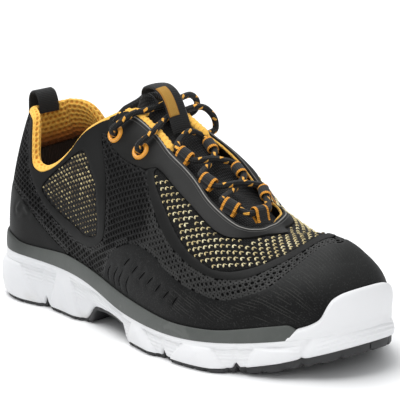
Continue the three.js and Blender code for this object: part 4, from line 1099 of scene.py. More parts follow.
RAND_X = [0, 10, 18, 26, 31, 35.5, 44, 57, 72, 84, 102, 117, 131, 145, 162, 178, 190, 203, 222, 238, 252, 267, 280, 300]
RAND_Z = [40.6, 40.6, 40.4, 39.6, 38.7, 37.8, 37.3, 37.6, 38.2, 38.3, 36.3, 33.9, 31.4, 29.4, 27.4, 25.8, 24.8, 24.0, 24.2, 25.0, 27.2, 30.0, 32.0, 34]


def rand_mesh():
    a1 = 151.5
    s_all, run_all = even_stations(1400)
    lim = np.radians(a1)
    s = np.concatenate([s_all[s_all > TAU - lim] - TAU, s_all[s_all < lim]])
    x = plan(s)[0]
    z0, z1 = tab(SOLE, "zr", x) - 0.1, curve(RAND_X, RAND_Z, x)
    end = smooth((np.radians(a1 + 3) - np.abs(s)) / 0.14)
    z1 = lerp(z0 + 0.8, z1, end)
    prof = spline([(0.1, 0.0), (2.3, 0.0), (2.75, 0.06), (2.7, 0.35), (2.3, 0.70), (1.9, 0.90), (1.45, 0.985), (0.9, 1.0), (0.1, 0.97)], 0.14)
    rows = [plus(s, o, lerp(z0, z1, h)) for o, h in prof]
    g = np.transpose(np.array(rows), (1, 0, 2))
    v, f = sections(g)
    x_, y_ = plan(s)
    run = np.concatenate([[0], np.cumsum(np.hypot(np.diff(x_), np.diff(y_)))])
    uv = np.stack(np.broadcast_arrays(run[:, None], g[..., 2]), -1).reshape(-1, 2)
    return v, f, np.concatenate([uv, [[0, 0], [run[-1], 0]]])


def rand_paint():
    p = Paint("rubber_grey")
    big = p.noise(30.0, 4.0, 0.6)
    fine = p.noise(700.0, 2.0)
    col = p.mix(p.step(big, 0.3, 0.7), (0.066, 0.072, 0.067), (0.088, 0.094, 0.088))
    scuff = p.step(p.noise(22.0, 5.0, 0.7, distort=1.2), 0.60, 0.68)
    col = p.mix(p.mul(scuff, 0.22), col, (0.17, 0.175, 0.165))
    r = p.sub(p.add(0.44, p.mul(fine, 0.10)), p.mul(scuff, 0.10))
    heel = p.step(p.node("SeparateXYZ", [p.place()]).outputs[0], -0.085, -0.130)
    col = p.mix(p.mul(heel, 0.8), col, (0.022, 0.024, 0.022))
    return p.finish(col, r, p.bump(p.add(fine, p.mul(big, 3.0)), 0.05), spec=0.32)


v, f, uv = rand_mesh()
build("rand_rubber", v, f, rand_paint(), replaces=["rand"], uv=uv, sharp=55)


def insole_mesh():
    s = even_stations(200, 0.01, np.pi - 0.01)[0]
    x = plan(s)[0]
    u = np.concatenate([[0], np.linspace(0.02, 0.98, 40), [1]])
    z = tab(SOLE, "zr", x) + GAP + 0.15

    def edge(off, lift, side):
        return plus(s if side < 0 else TAU - s, off, z + lift)

    tl, tm = edge(-4.4, 4.6, -1), edge(-4.4, 4.6, 1)
    top = tl[:, None] + (tm - tl)[:, None] * u[None, :, None]
    top[..., 2] += (0.9 * (2 * np.abs(u - 0.5)) ** 4)[None] - 0.4 - 0.9
    g = np.concatenate([top, edge(-3.4, 3.8, 1)[:, None], edge(-3.2, 0, 1)[:, None], edge(-3.2, 0, -1)[:, None], edge(-3.4, 3.8, -1)[:, None]], 1)
    v, f = sections(g)
    return v, f, v[:, :2]


v, f, uv = insole_mesh()
M_INSOLE = mat_knit("insole_cloth", (0.016, 0.015, 0.014), (0.060, 0.056, 0.052), (1.5, 1.3), 0.1)
build("insole_board", v, f, M_INSOLE, replaces=["insole"], uv=uv, sharp=45)


# ------------------------------------------------------------------ knit stitches in the windows, and the open mesh
def surface_frame(x, g, off=0.0):
    e = 0.25
    p = skin(x, g, off)
    dx, dg = skin(x + e, g, off) - skin(x - e, g, off), skin(x, g + e, off) - skin(x, g - e, off)
    dx /= np.linalg.norm(dx, axis=-1, keepdims=True) + 1e-12
    dg = dg - dx * (dg * dx).sum(-1, keepdims=True)
    dg /= np.linalg.norm(dg, axis=-1, keepdims=True) + 1e-12
    n = np.cross(dx, dg)
    return p, dx, dg, n


def free_of_cuts(x, g, margin=1.0):
    s, v = from_chart(x, g)
    return cut_field(s, v) > margin


def scatter(x, g, shapes, size, turn, lift, off):
    """One small outline-and-crown form at each chart place. shapes: (m, 3) points as along, across, height."""
    p, dx, dg, n = surface_frame(x, g, off)
    c, s_ = np.cos(turn)[:, None], np.sin(turn)[:, None]
    a, b = dx * c + dg * s_, dg * c - dx * s_
    q = shapes[None] * size[:, None, None]
    return p[:, None] + a[:, None] * q[..., 0:1] + b[:, None] * q[..., 1:2] + n[:, None] * (q[..., 2:3] * lift)


def stitch_shape():
    """One knit stitch: two short arms that meet in a point, each a rounded bar."""
    pts, faces = [], []
    for sgn in (-1, 1):
        base = len(pts)
        line = np.array([[0.62, 0.0], [0.25, 0.34 * sgn], [-0.25, 0.62 * sgn], [-0.62, 0.78 * sgn]])
        wide = [0.22, 0.42, 0.40, 0.18]
        high = [0.18, 0.50, 0.48, 0.14]
        for (x, y), w, h in zip(line, wide, high):
            pts += [[x - 0.5 * w, y - w, -0.12], [x, y, h], [x + 0.5 * w, y + w, -0.12]]
        for k in range(3):
            o = base + 3 * k
            faces += [[o, o + 3, o + 4, o + 1], [o + 1, o + 4, o + 5, o + 2], [o + 2, o + 5, o + 3, o]]
        faces += [[base, base + 1, base + 2, base + 2], [base + 9, base + 11, base + 10, base + 10]]
    return np.array(pts), faces


def closed_faces(faces):
    quads = [f for f in faces if len(set(f)) == 4]
    tris_ = [list(dict.fromkeys(f)) for f in faces if len(set(f)) == 3]
    return np.array(quads), np.array(tris_)


STITCH, STITCH_FACES = stitch_shape()
STITCH_QUADS, STITCH_TRIS = closed_faces(STITCH_FACES)


def many(name, pts, material, tone, x, g):
    n, m = pts.shape[:2]
    base = (np.arange(n) * m)[:, None, None]
    quads, tris_ = (STITCH_QUADS[None] + base).reshape(-1, 4), (STITCH_TRIS[None] + base).reshape(-1, 3)
    uv = np.repeat(np.stack([x, g], 1), m, 0)
    return build(name, pts.reshape(-1, 3), [tris_, quads], material, uv=uv, attrs={"tone": np.repeat(tone, m)}, flip=False)


def yarn(name, dim, pale, bright):
    p = Paint(name)
    tone = p.attr("tone")
    fuzz = p.noise(1700.0, 2.0)
    col = p.mix(p.step(tone, 0.0, 0.5), dim, pale)
    col = p.mix(p.step(tone, 0.5, 1.0), col, bright)
    col = p.mix(p.step(fuzz, 0.55, 0.2), col, p.mix(0.6, col, (0.05, 0.035, 0.015)))
    return p.finish(col, 0.62, p.bump(fuzz, 0.12), spec=0.3, sheen=0.15, sheen_rough=0.4)


rng = np.random.default_rng(11)
M_GOLD = yarn("yarn_gold", (0.11, 0.078, 0.038), (0.68, 0.56, 0.29), (0.92, 0.84, 0.55))


def window_stitches():
    """Rows run across the foot, the point of every stitch towards the heel."""
    a, b = 2.78, 4.9
    xs, gs = [], []
    for i, x in enumerate(np.arange(150, 270, a / 1.0)):
        g = np.arange(-75, 75, b) + (b / 2 if i % 2 else 0.0)
        xs.append(np.full(len(g), x))
        gs.append(g)
    x, g = np.concatenate(xs), np.concatenate(gs)
    d = signed_distance(np.stack([x, g], 1), WINDOW_POLY)
    ok = (d > 0.9) & free_of_cuts(x, g, 1.5)
    x, g, d = x[ok], g[ok], d[ok]
    return x, g, d


x, g, d = window_stitches()
medial = smooth((g + 4) / 14)
keep = rng.random(len(x)) > 0.03
x, g, d, medial = x[keep], g[keep], d[keep], medial[keep]
edge_fade = smooth((d - 0.5) / 2.5)
wing = smooth((196 - x) / 22) * (g < 0)
far = smooth((x - 222) / 16) * smooth((g + 14) / 20)
size = (1.44 - 0.30 * far - 0.10 * wing + rng.normal(0, 0.05, len(x))) * lerp(0.72, 1.0, edge_fade)
tone = np.clip(0.70 + rng.normal(0, 0.16, len(x)) - 0.08 * wing - 0.34 * far, 0.10, 1) * lerp(0.6, 1, edge_fade)
turn = np.pi + rng.normal(0, 0.10, len(x))
pts = scatter(x, g, STITCH, size, turn, 0.85, -0.30)
many("window_stitches", pts, M_GOLD, tone, x, g)


def tear_stitches(side):
    xs, gs = [], []
    for i, x in enumerate(np.arange(20, 120, 2.75)):
        g = np.arange(14, 120, 3.1) + (1.55 if i % 2 else 0.0)
        xs.append(np.full(len(g), x))
        gs.append(side * g)
    x, g = np.concatenate(xs), np.concatenate(gs)
    d = signed_distance(np.stack([x, g], 1), TEAR_POLY[side])
    ok = (d > 0.8) & free_of_cuts(x, g, 2.0)
    return x[ok], g[ok], d[ok]


for side, word in ((-1, "lateral"), (1, "medial")):
    x, g, d = tear_stitches(side)
    z = skin(x, g)[:, 2]
    high = smooth((z - 52) / 40)
    size = lerp(0.60, 1.06, high) * (1 + rng.normal(0, 0.06, len(x))) * lerp(0.75, 1, smooth(d / 2.5))
    tone = np.clip(lerp(0.06, 0.27, high) + rng.normal(0, 0.17, len(x)), 0.03, 0.9)
    turn = np.full(len(x), -side * np.pi / 2) + rng.normal(0, 0.12, len(x))
    pts = scatter(x, g, STITCH, size, turn, 0.8, -0.30)
    many("quarter_stitches_" + word, pts, M_GOLD, tone, x, g)


def mesh_cells(side):
    """Hexagonal webs with a round hole each; cells lean along the shoe, small near the films."""
    pitch = 3.35
    rows = []
    for j, u in enumerate(np.arange(-60, 330, pitch * 0.866)):
        t = np.arange(-60, 330, pitch) + (pitch / 2 if j % 2 else 0)
        rows.append(np.stack([np.full(len(t), u), t], 1))
    q = np.concatenate(rows)
    lean = np.radians(-52.0)
    c, s_ = np.cos(lean), np.sin(lean)
    x, g = 150 + (q[:, 0] - 130) * c - (q[:, 1] - 130) * s_, -side * (-58 + (q[:, 0] - 130) * s_ + (q[:, 1] - 130) * c)
    ok = (x > 8) & (x < 292) & (np.sign(g) == side) & (np.abs(g) < 120)
    x, g = x[ok], g[ok]
    xg = np.stack([x, g], 1)
    film = np.maximum.reduce([signed_distance(xg, FRAME_POLY), signed_distance(xg, FOREFOOT_POLY), signed_distance(xg, EYESTAY_POLY), side_of(xg, QUARTER_POLY), side_of(xg, TEAR_POLY)])
    s, v = from_chart(x, g)
    fold = np.minimum(s, TAU - s)
    film = np.maximum(film, (np.interp(fold, [k[0] for k in COUNTER], [k[1] for k in COUNTER]) - v) * 105.0)
    girth = np.interp(x, CHART_X, CHARTS[side]["girth"])
    ok = (film < 0.3) & (np.abs(g) < girth + 1.0) & (cut_field(s, v) > 1.7)
    return x[ok], g[ok], film[ok], pitch, lean


def mesh_piece(name, side):
    x, g, film, pitch, lean = mesh_cells(side)
    n, k = len(x), 12
    ang = np.arange(k) * TAU / k + TAU / 24
    hexa = (pitch / 2) / np.cos(np.mod(ang, TAU / 6) - TAU / 12)
    small = smooth((2.6 + film) / 2.2)  # towards a film the holes close
    small = np.where(film > -2.6, 0.55, 1.0) * np.where(film > -0.9, 0.75, 1.0)
    vamp = smooth((x - 160) / 14) * smooth((film + 12) / 3)
    hole = lerp(0.74, 0.56, vamp) * pitch / 2 * small * (1 + rng.normal(0, 0.05, n))
    turn = -lean * side + 0 * x
    rings_ = [(hexa[None] * np.ones((n, 1)) * 1.01, -0.42), (hexa[None] * 0.5 + (hole * 0.5)[:, None], 0.02), ((hole * 1.12)[:, None] * np.ones((1, k)), -0.04), (hole[:, None] * np.ones((1, k)), -0.22), (hole[:, None] * np.ones((1, k)), -0.95)]
    # web crown: raised along the hexagon's edge
    rings_[0] = (hexa[None] * np.ones((n, 1)) * 1.005, 0.0)
    rings_[1] = (hexa[None] * 0.60 + (hole * 0.40)[:, None], -0.10)
    out = []
    for r, hgt in rings_:
        lx, lg = np.cos(ang)[None] * r, np.sin(ang)[None] * r
        c, s_ = np.cos(turn)[:, None], np.sin(turn)[:, None]
        X, G = x[:, None] + lx * c - lg * s_, g[:, None] + lx * s_ + lg * c
        G = np.where(np.sign(G) == side, G, 0.0)
        edge = np.interp(X, CHART_X, CHARTS[side]["girth"])
        G = side * np.minimum(np.abs(G), edge - 0.05)
        out.append(skin(X, G, hgt))
    v = np.stack(out, 1).reshape(-1, 3)  # n, ring, k
    m = len(rings_) * k
    faces = []
    for r in range(len(rings_) - 1):
        i = np.arange(k)
        j = (i + 1) % k
        faces.append(np.stack([r * k + i, r * k + j, (r + 1) * k + j, (r + 1) * k + i], 1))
    faces = np.concatenate(faces)
    allf = (faces[None] + (np.arange(n) * m)[:, None, None]).reshape(-1, 4)
    if side > 0:
        allf = allf[:, ::-1]
    uv = np.repeat(np.stack([x, g], 1), m, 0)
    z = skin(x, g)[:, 2]
    tone = np.clip(0.8 * smooth((58 - z) / 14) + 0.75 * vamp, 0, 1)
    return build(name, v, allf, M_MESH, uv=uv, flip=False, attrs={"tone": np.repeat(tone, m)})


for side, word in ((-1, "lateral"), (1, "medial")):
    mesh_piece("open_mesh_" + word, side)


# ------------------------------------------------------------------ collar lining
def on_form_over(x, z, off, s0, v0):
    s, v = s0.copy(), v0.copy()
    e = 1e-4
    for _ in range(12):
        p, a, b = form(s, v, off), form(s + e, v, off), form(s, v + e, off)
        xs, zs, xv, zv = (a[..., 0] - p[..., 0]) / e, (a[..., 2] - p[..., 2]) / e, (b[..., 0] - p[..., 0]) / e, (b[..., 2] - p[..., 2]) / e
        det = xs * zv - xv * zs
        dx, dz = x - p[..., 0], z - p[..., 2]
        s = s + np.clip((dx * zv - xv * dz) / det, -0.1, 0.1)
        v = v + np.clip((xs * dz - zs * dx) / det, -0.1, 0.1)
    return s, v


def on_form_level(s, z, off):
    lo, hi = np.zeros_like(s), np.ones_like(s)
    for _ in range(34):
        m = (lo + hi) / 2
        below = form(s, m, off)[..., 2] < z
        lo, hi = np.where(below, m, lo), np.where(below, hi, m)
    return (lo + hi) / 2


def lining_mesh():
    (sl, vl), (sm, vm) = COLLAR[-1], COLLAR[1]
    line = np.concatenate([np.stack([sl, vl], 1)[:0:-1], [[0.0, vl[0]]], np.stack([sm - TAU, vm], 1)[1:]])
    line = spline(line * [150, 100], 0.45) / [150, 100]
    p = form(line[:, 0], line[:, 1])
    d = np.concatenate([[0], np.cumsum(np.linalg.norm(np.diff(p, axis=0), axis=1))])
    at = np.linspace(0, d[-1], 430)
    s, v = np.interp(at, d, line[:, 0]), np.interp(at, d, line[:, 1])
    outline = spline([(-0.2, 0.35), (-0.5, 2.3), (-3.3, 3.9), (-6.2, 2.6), (-7.6, -2.5), (-7.2, -12), (-5.6, -22), (-3.3, -24)], 0.42)
    back_ = np.array([(-3.0, -20.0), (-3.0, -10.0), (-3.0, -3.0), (-1.2, 0.2)])
    outline = np.concatenate([outline, back_])
    o, h = outline[:, 0][None] + 0 * s[:, None], outline[:, 1][None] + 0 * s[:, None]
    a = np.abs(s)[:, None] + 0 * o
    ahead = smooth((a - 0.85) / 0.45)
    thin, deep = lerp(1, 0.5, ahead), lerp(1, 0.28, ahead)
    off = np.where(o < -3.3, -3.3 + (o + 3.3) * thin, o)
    S, V0 = s[:, None] + 0 * o, v[:, None] + 0 * o
    p = form(S, V0)
    s1, v1 = on_form_over(p[..., 0], p[..., 2], off, S.copy(), V0.copy())
    v2 = on_form_level(S, p[..., 2], off)
    w = smooth((a - 0.36) / 0.12)
    s1, v1 = lerp(S, s1, w), lerp(v2, v1, w)
    e = 1e-3
    dv = np.linalg.norm(form(s, v + e) - form(s, v - e), axis=-1)[:, None] / (2 * e)
    vv = v1 + (np.where(h < 0, h * deep, h * lerp(1, 0.5, ahead)) + 1.1 * smooth((np.radians(34) - a) / 0.2)) / dv
    vv = vv + np.where(h > 0, h, 0) * 0.22 * ahead / dv
    g = form(s1, vv, off)
    # dimples of the spacer mesh, real hollows
    du, dw = np.gradient(g, axis=0), np.gradient(g, axis=1)
    n = np.cross(du, dw)
    n /= np.linalg.norm(n, axis=-1, keepdims=True) + 1e-12
    centre = g.mean(1, keepdims=True)
    n *= np.sign(((g - centre) * n).sum(-1).mean())
    run = np.concatenate([np.zeros((len(s), 1)), np.cumsum(np.linalg.norm(np.diff(g, axis=1), axis=2), 1)], 1)
    at2 = at[:, None] + 0 * run
    pa, pb = 3.7, 3.3
    row = np.floor(run / pb)
    cx = np.mod(at2 / pa + 0.5 * np.mod(row, 2), 1.0) - 0.5
    cy = np.mod(run / pb, 1.0) - 0.5
    pit = smooth(1.35 - 2.6 * np.hypot(cx, cy * 0.95))
    face = smooth((run - 1.2) / 1.5) * (np.arange(g.shape[1]) < g.shape[1] - 4)[None]
    puff = 0.25 * np.sin(at2 / 9.0) * smooth((run - 6) / 6)
    g = g + n * ((-0.85 * pit + 0.15) * face + puff * face)[..., None]
    m = g.shape[1]
    v, f = sections(g)
    uv = np.concatenate([np.stack([at2, run], -1).reshape(-1, 2), [[0, 0], [at[-1], 0]]])
    pits = np.concatenate([(pit * face).ravel(), [0, 0]])
    # depth below the collar's top, which the lining's paint turns into painted shade
    low = np.concatenate([(np.maximum(-(h * deep), 0)).ravel(), [0, 0]])
    return v, f, uv, pits, low


def spacer(name, light, pit_shade_colour, dark):
    p = Paint(name)
    pit, low = p.attr("pit"), p.attr("low")
    fuzz = p.noise(1500.0, 2.0)
    x, g = p.chart()
    cx, cy = p.lattice(x, g, 0.8, 0.7)
    yarns = p.step(p.math("SQRT", p.add(p.mul(cx, cx), p.mul(cy, cy))), 1.1, 0.2)
    col = p.mix(p.step(p.noise(30.0, 3.0), 0.3, 0.7), light, tuple(c * 0.86 for c in light))
    # painted shade: the spacer's pits are coloured a deeper, darker orange
    col = p.mix(p.mul(p.step(pit, 0.25, 0.9), 0.92), col, pit_shade_colour)
    # painted shade: the lining darkens the further it runs down into the shoe, to near black at the bottom
    col = p.mix(p.step(low, 11.0, 20.0), col, tuple(c * 0.50 for c in light[:1]) + (light[1] * 0.31, light[2] * 0.3))
    col = p.mix(p.step(low, 18.0, 25.0), col, dark)
    return p.finish(col, 0.8, p.bump(p.add(p.mul(yarns, 0.12), p.mul(fuzz, 0.10)), 1.0), spec=0.2, sheen=0.25, sheen_rough=0.4, tint=(1.0, 0.85, 0.6))


# the second colour is the pits' painted shade, the third the painted shade deep in the shoe
M_ORANGE = spacer("spacer_mesh_orange", (1.0, 0.57, 0.105), (0.62, 0.235, 0.030), (0.14, 0.042, 0.016))
v, f, uv, pits, low = lining_mesh()
lining = build("collar_lining_mesh", v, f, M_ORANGE, replaces=["collar_lining"], uv=uv, attrs={"pit": pits, "low": low})


def throat_roll(name, side, x0, x1, r0, r1):
    """The lining's fold, showing along the eyestay's inner edge."""
    edge = throat_lat if side < 0 else throat_med
    x = np.arange(x0, x1, 0.6)
    y = np.interp(x, edge[:, 0], edge[:, 1])
    s, v, _ = locate_plan(x, y)
    c = form(s, v, -0.5)
    r = lerp(r0, r1, (x - x0) / (x1 - x0)) * np.minimum(1, smooth((x - x0) / 3) * 0.7 + 0.3) * np.minimum(1, smooth((x1 - x) / 4) * 0.8 + 0.2)
    t = np.gradient(c, axis=0)
    t /= np.linalg.norm(t, axis=1)[:, None]
    up_ = np.cross(t, np.array([0.0, 1.0, 0.0]))
    up_ /= np.linalg.norm(up_, axis=1)[:, None]
    up_ *= np.sign(up_[:, 2:3])
    in_ = np.cross(t, up_)
    in_ *= np.sign(in_[:, 1:2] * -side)
    a = np.arange(16) * TAU / 16
    dim = 0.24 * np.cos(TAU * x / 3.0)[:, None] * np.cos(3 * a)[None] + np.random.default_rng(5).normal(0, 0.07, (len(x), len(a)))
    g = c[:, None] + (in_[:, None] * (np.cos(a)[None, :, None] * (r * 0.95)[:, None, None] + 1.1) + up_[:, None] * (np.sin(a)[None, :, None] * (r * 1.0)[:, None, None])) * (1 + dim[..., None] / 2)
    vv, f = sections(g)
    run = np.concatenate([[0], np.cumsum(np.linalg.norm(np.diff(c, axis=0), axis=1))])
    uv = np.concatenate([np.stack(np.broadcast_arrays(run[:, None], (a * 1.7)[None]), -1).reshape(-1, 2), [[0, 0], [run[-1], 0]]])
    # dimple mask, coloured with the painted shade of the spacer's pits
    pit = np.concatenate([(smooth(np.cos(TAU * x / 3.0)[:, None] * np.cos(3 * a)[None]) * 0.8).ravel(), [0, 0]])
    return build(name, vv, f, M_ORANGE, uv=uv, attrs={"pit": pit, "low": 0 * pit})


def locate_plan(x, y):
    """(s, v) of the form's point over (x, y), near the instep."""
    g = np.zeros_like(x)
    for _ in range(40):
        p = skin(x, g)
        g = g + np.clip(y - p[..., 1], -3, 3) * 0.9
    s, v = from_chart(x, g)
    return s, v, g


def collar_roll(name, side, x0, x1, r0, r1):
    """The lining folded over the collar's front edge, plumper toward the eyelets."""
    s, v = COLLAR[side]
    c = form(s, v, -0.9)
    keep = (c[:, 0] > x0) & (c[:, 0] < x1) & (s > 0.7)
    c = spline(c[keep], 0.6)
    k = np.linspace(0, 1, len(c))
    r = lerp(r0, r1, k) * np.minimum(1, smooth(k / 0.2) * 0.8 + 0.2) * np.minimum(1, smooth((1 - k) / 0.06) * 0.5 + 0.5)
    t = np.gradient(c, axis=0)
    t /= np.linalg.norm(t, axis=1)[:, None]
    up_ = np.cross(t, np.array([0.0, 1.0, 0.0]))
    up_ /= np.linalg.norm(up_, axis=1)[:, None]
    up_ *= np.sign(up_[:, 2:3])
    in_ = np.cross(t, up_)
    in_ *= np.sign(in_[:, 1:2] * -side)
    a = np.arange(16) * TAU / 16
    run = np.concatenate([[0], np.cumsum(np.linalg.norm(np.diff(c, axis=0), axis=1))])
    dim = 0.10 * np.cos(TAU * run / 3.0)[:, None] * np.cos(3 * a)[None] + np.random.default_rng(8).normal(0, 0.03, (len(c), len(a)))
    g = c[:, None] + (in_[:, None] * (np.cos(a)[None, :, None] * (r * 0.95)[:, None, None] + 0.9) + up_[:, None] * ((np.sin(a)[None, :, None] + 0.35) * r[:, None, None])) * (1 + dim[..., None] / 2)
    vv, f = sections(g)
    uv = np.concatenate([np.stack(np.broadcast_arrays(run[:, None], (a * 1.7)[None]), -1).reshape(-1, 2), [[0, 0], [run[-1], 0]]])
    # dimple mask, coloured with the painted shade of the spacer's pits
    pit = np.concatenate([(smooth(np.cos(TAU * run / 3.0)[:, None] * np.cos(3 * a)[None]) * 0.6).ravel(), [0, 0]])
    return build(name, vv, f, M_ORANGE, uv=uv, attrs={"pit": pit, "low": 0 * pit})


collar_roll("collar_roll_lateral", -1, 84, 118, 1.1, 2.2)
throat_roll("throat_roll_lateral", -1, 116, 161, 2.1, 2.7)
throat_roll("throat_roll_medial", 1, 119, 162, 2.9, 2.6)
throat_roll("throat_binding_medial", 1, 157, 227, 0.75, 0.7)


# ------------------------------------------------------------------ tongue and pull loops
def tongue_mesh():
    xs = np.concatenate([np.linspace(116.5, 124, 16)[:-1], np.linspace(124, 236, 130)])
    vs = np.linspace(0.48, 1, 46)
    S = np.arccos(np.clip(1 - 2 * (xs - RIDGE_BACK) / (RIDGE_FRONT - RIDGE_BACK), -1, 1))
    narrow = np.interp(xs, [116.5, 118.5, 123, 128], [0.26, 0.13, 0.04, 0])

    def layer(d):
        out = []
        for side in (-1, 1):
            V = lerp(vs[None], 1, narrow[:, None])
            sink = -WALL - 0.7 - 3.4 * smooth((0.9 - V) / 0.14) * smooth((152 - xs[:, None]) / 20) + 1.7 * smooth((124 - xs[:, None]) / 6) * smooth((V - 0.84) / 0.1) - 3.4 * smooth((xs[:, None] - 138) / 14) - 1.4 * smooth((xs[:, None] - 150) / 14)
            quilt = 0.35 * np.sin(TAU * (xs[:, None] - 116) / 11.0) * smooth((xs[:, None] - 120) / 5) * smooth((158 - xs[:, None]) / 8) * (d == 0)
            roll = 2.2 * (1 - np.sqrt(np.maximum(1 - (1 - np.clip((xs[:, None] - 116.5) / 2.6, 0, 1)) ** 2, 0)))
            off = sink + quilt - d * 1.0 + (-roll if d == 0 else roll * 0.9)
            p = form(S[:, None] + 0 * V if side < 0 else TAU - S[:, None] + 0 * V, V, off)
            out.append(p if side < 0 else p[:, ::-1][:, 1:])
        return np.concatenate(out, 1)

    a, b = layer(0.0), layer(4.4)
    n, m = a.shape[:2]
    q = grid_faces(n, m)
    v, f, first = shell(a.reshape(-1, 3), b.reshape(-1, 3), np.concatenate([q[:, [0, 1, 2]], q[:, [0, 2, 3]]]))
    gx = np.concatenate([[0], np.cumsum(np.linalg.norm(np.diff(a.mean(1), axis=0), axis=1))])[:, None] + 0 * a[..., 0]
    gy = np.concatenate([np.zeros((n, 1)), np.cumsum(np.linalg.norm(np.diff(a, axis=1), axis=2), 1)], 1)
    uv = np.stack([gx, gy], -1).reshape(-1, 2)[first]
    return v, f, np.concatenate([uv, uv])


M_TONGUE = mat_knit("tongue_cloth", (0.006, 0.006, 0.006), (0.024, 0.024, 0.025), (1.9, 1.7), 0.22)
v, f, uv = tongue_mesh()
tongue = build("tongue_pad", v, f, M_TONGUE, replaces=["tongue"], uv=uv, sharp=60)


def tongue_lip():
    """Rolled upper edge of the tongue, in front of the collar's lining."""
    line = spline(np.array([[112.8, -21.5, 121.5], [113.6, -18.0, 125.0], [114.2, -13.2, 128.6], [114.7, -8.3, 130.3], [115.0, -3.4, 131.9], [115.2, 1.0, 134.0], [115.2, 5.0, 134.9], [115.0, 10.0, 133.6], [114.0, 15.5, 130.4], [112.0, 21.0, 125.6], [109.0, 25.5, 119.5]]), 0.8)
    t_ = np.gradient(line, axis=0)
    t_ /= np.linalg.norm(t_, axis=1)[:, None]
    n_ = np.cross(t_, np.array([1.0, 0.0, 0.0]))
    n_ /= np.linalg.norm(n_, axis=1)[:, None]
    n_ *= np.sign(n_[:, 2:3])
    b_ = np.cross(t_, n_)
    run = np.concatenate([[0], np.cumsum(np.linalg.norm(np.diff(line, axis=0), axis=1))])
    a_ = np.arange(20) * TAU / 20
    tight = 1 - 0.05 * np.exp(-((np.mod(run, 9.0) - 4.5) / 1.2) ** 2)
    r_ = tight * np.minimum(1, smooth(run / 6) * 0.6 + 0.4) * np.minimum(1, smooth((run[-1] - run) / 6) * 0.6 + 0.4)
    g = line[:, None] + n_[:, None] * (np.sin(a_)[None, :, None] * 4.4 - 3.6) * r_[:, None, None] + b_[:, None] * (np.cos(a_)[None, :, None] * 3.4) * r_[:, None, None]
    v, f = sections(g)
    uv = np.concatenate([np.stack(np.broadcast_arrays(run[:, None], (a_ * 2.8)[None]), -1).reshape(-1, 2), [[0, 0], [run[-1], 0]]])
    return v, f, uv


v, f, uv = tongue_lip()
build("tongue_lip", v, f, M_TONGUE, uv=uv, sharp=70)


def strap_mesh(path, width, thick, y_mid, drop=0.0, pinch=None):
    c = spline(np.array(path), 0.3)
    d = np.concatenate([[0], np.cumsum(np.linalg.norm(np.diff(c, axis=0), axis=1))])
    at = np.linspace(0, d[-1], 120)
    c = np.stack([np.interp(at, d, c[:, 0]), np.interp(at, d, c[:, 1])], 1)
    for _ in range(6):
        c[1:-1] = (c[:-2] + 2 * c[1:-1] + c[2:]) / 4
    t = np.gradient(c, axis=0)
    t /= np.linalg.norm(t, axis=1)[:, None]
    n = np.stack([-t[:, 1], t[:, 0]], 1)
    k = 16
    u = np.linspace(-1, 1, k)
    prof = [(q, 1 - 0.85 * max(0.0, (abs(q) - 0.9) / 0.1) ** 2) for q in u]
    ring = [(q, h) for q, h in prof] + [(q, -h) for q, h in prof[::-1]]
    rows = []
    for i in range(len(at)):
        wd = width / 2 * (1 + (pinch(at[i] / d[-1]) if pinch else 0.0))
        fall = drop * float(smooth((c[i, 0] - 117) / 8))
        rows.append([[c[i, 0] + n[i, 0] * h * thick / 2, y_mid + q * wd, c[i, 1] + n[i, 1] * h * thick / 2 - fall * q * q] for q, h in ring])
    g = np.array(rows)
    v, f = sections(g)
    lateral_u = np.array([q * width / 2 for q, _ in ring])
    uv = np.concatenate([np.stack(np.broadcast_arrays(at[:, None], lateral_u[None]), -1).reshape(-1, 2), [[0, 0], [at[-1], 0]]])
    top = np.concatenate([np.broadcast_to(np.array([1.0 if h > 0 else 0.0 for _, h in ring]), g.shape[:2]).ravel(), [0, 0]])
    return v, f, uv, top, c, n, at


def webbing(name, colour=(0.014, 0.014, 0.014), patch=None, stripe=None, rib=1.25, light=(0.05, 0.05, 0.05)):
    p = Paint(name)
    x, g = p.chart()
    ribs = p.add(p.mul(p.math("SINE", p.mul(x, TAU / rib)), 0.5), 0.5)
    cross = p.add(p.mul(p.math("SINE", p.mul(g, TAU / 0.9)), 0.5), 0.5)
    fuzz = p.noise(1500.0, 2.0)
    col = p.mix(p.mul(p.mul(ribs, cross), p.step(fuzz, 0.2, 0.8)), colour, light)
    height = p.add(p.add(p.mul(ribs, 0.14), p.mul(cross, 0.06)), p.mul(fuzz, 0.08))
    if stripe:
        inner_, tone = stripe
        m = p.step(p.math("ABSOLUTE", g), inner_ - 0.15, inner_ + 0.15)
        dark = p.mul(p.mul(p.step(ribs, 0.30, 0.05), 0.7), 1.0)
        col = p.mix(m, col, p.mix(dark, tone, tuple(c * 0.25 for c in tone)))
    if patch:
        x0, x1, g0, g1, tone = patch
        m = p.mul(p.mul(p.step(x, x0 - 0.2, x0 + 0.2), p.step(x, x1 + 0.2, x1 - 0.2)), p.mul(p.step(g, g0 - 0.15, g0 + 0.15), p.step(g, g1 + 0.15, g1 - 0.15)))
        m = p.mul(m, p.attr("top"))
        col = p.mix(m, col, p.mix(p.mul(fuzz, 0.5), tone, tuple(c * 0.7 for c in tone)))
    return p.finish(col, 0.78, p.bump(height, 1.0), spec=0.3, sheen=0.1, sheen_rough=0.4)


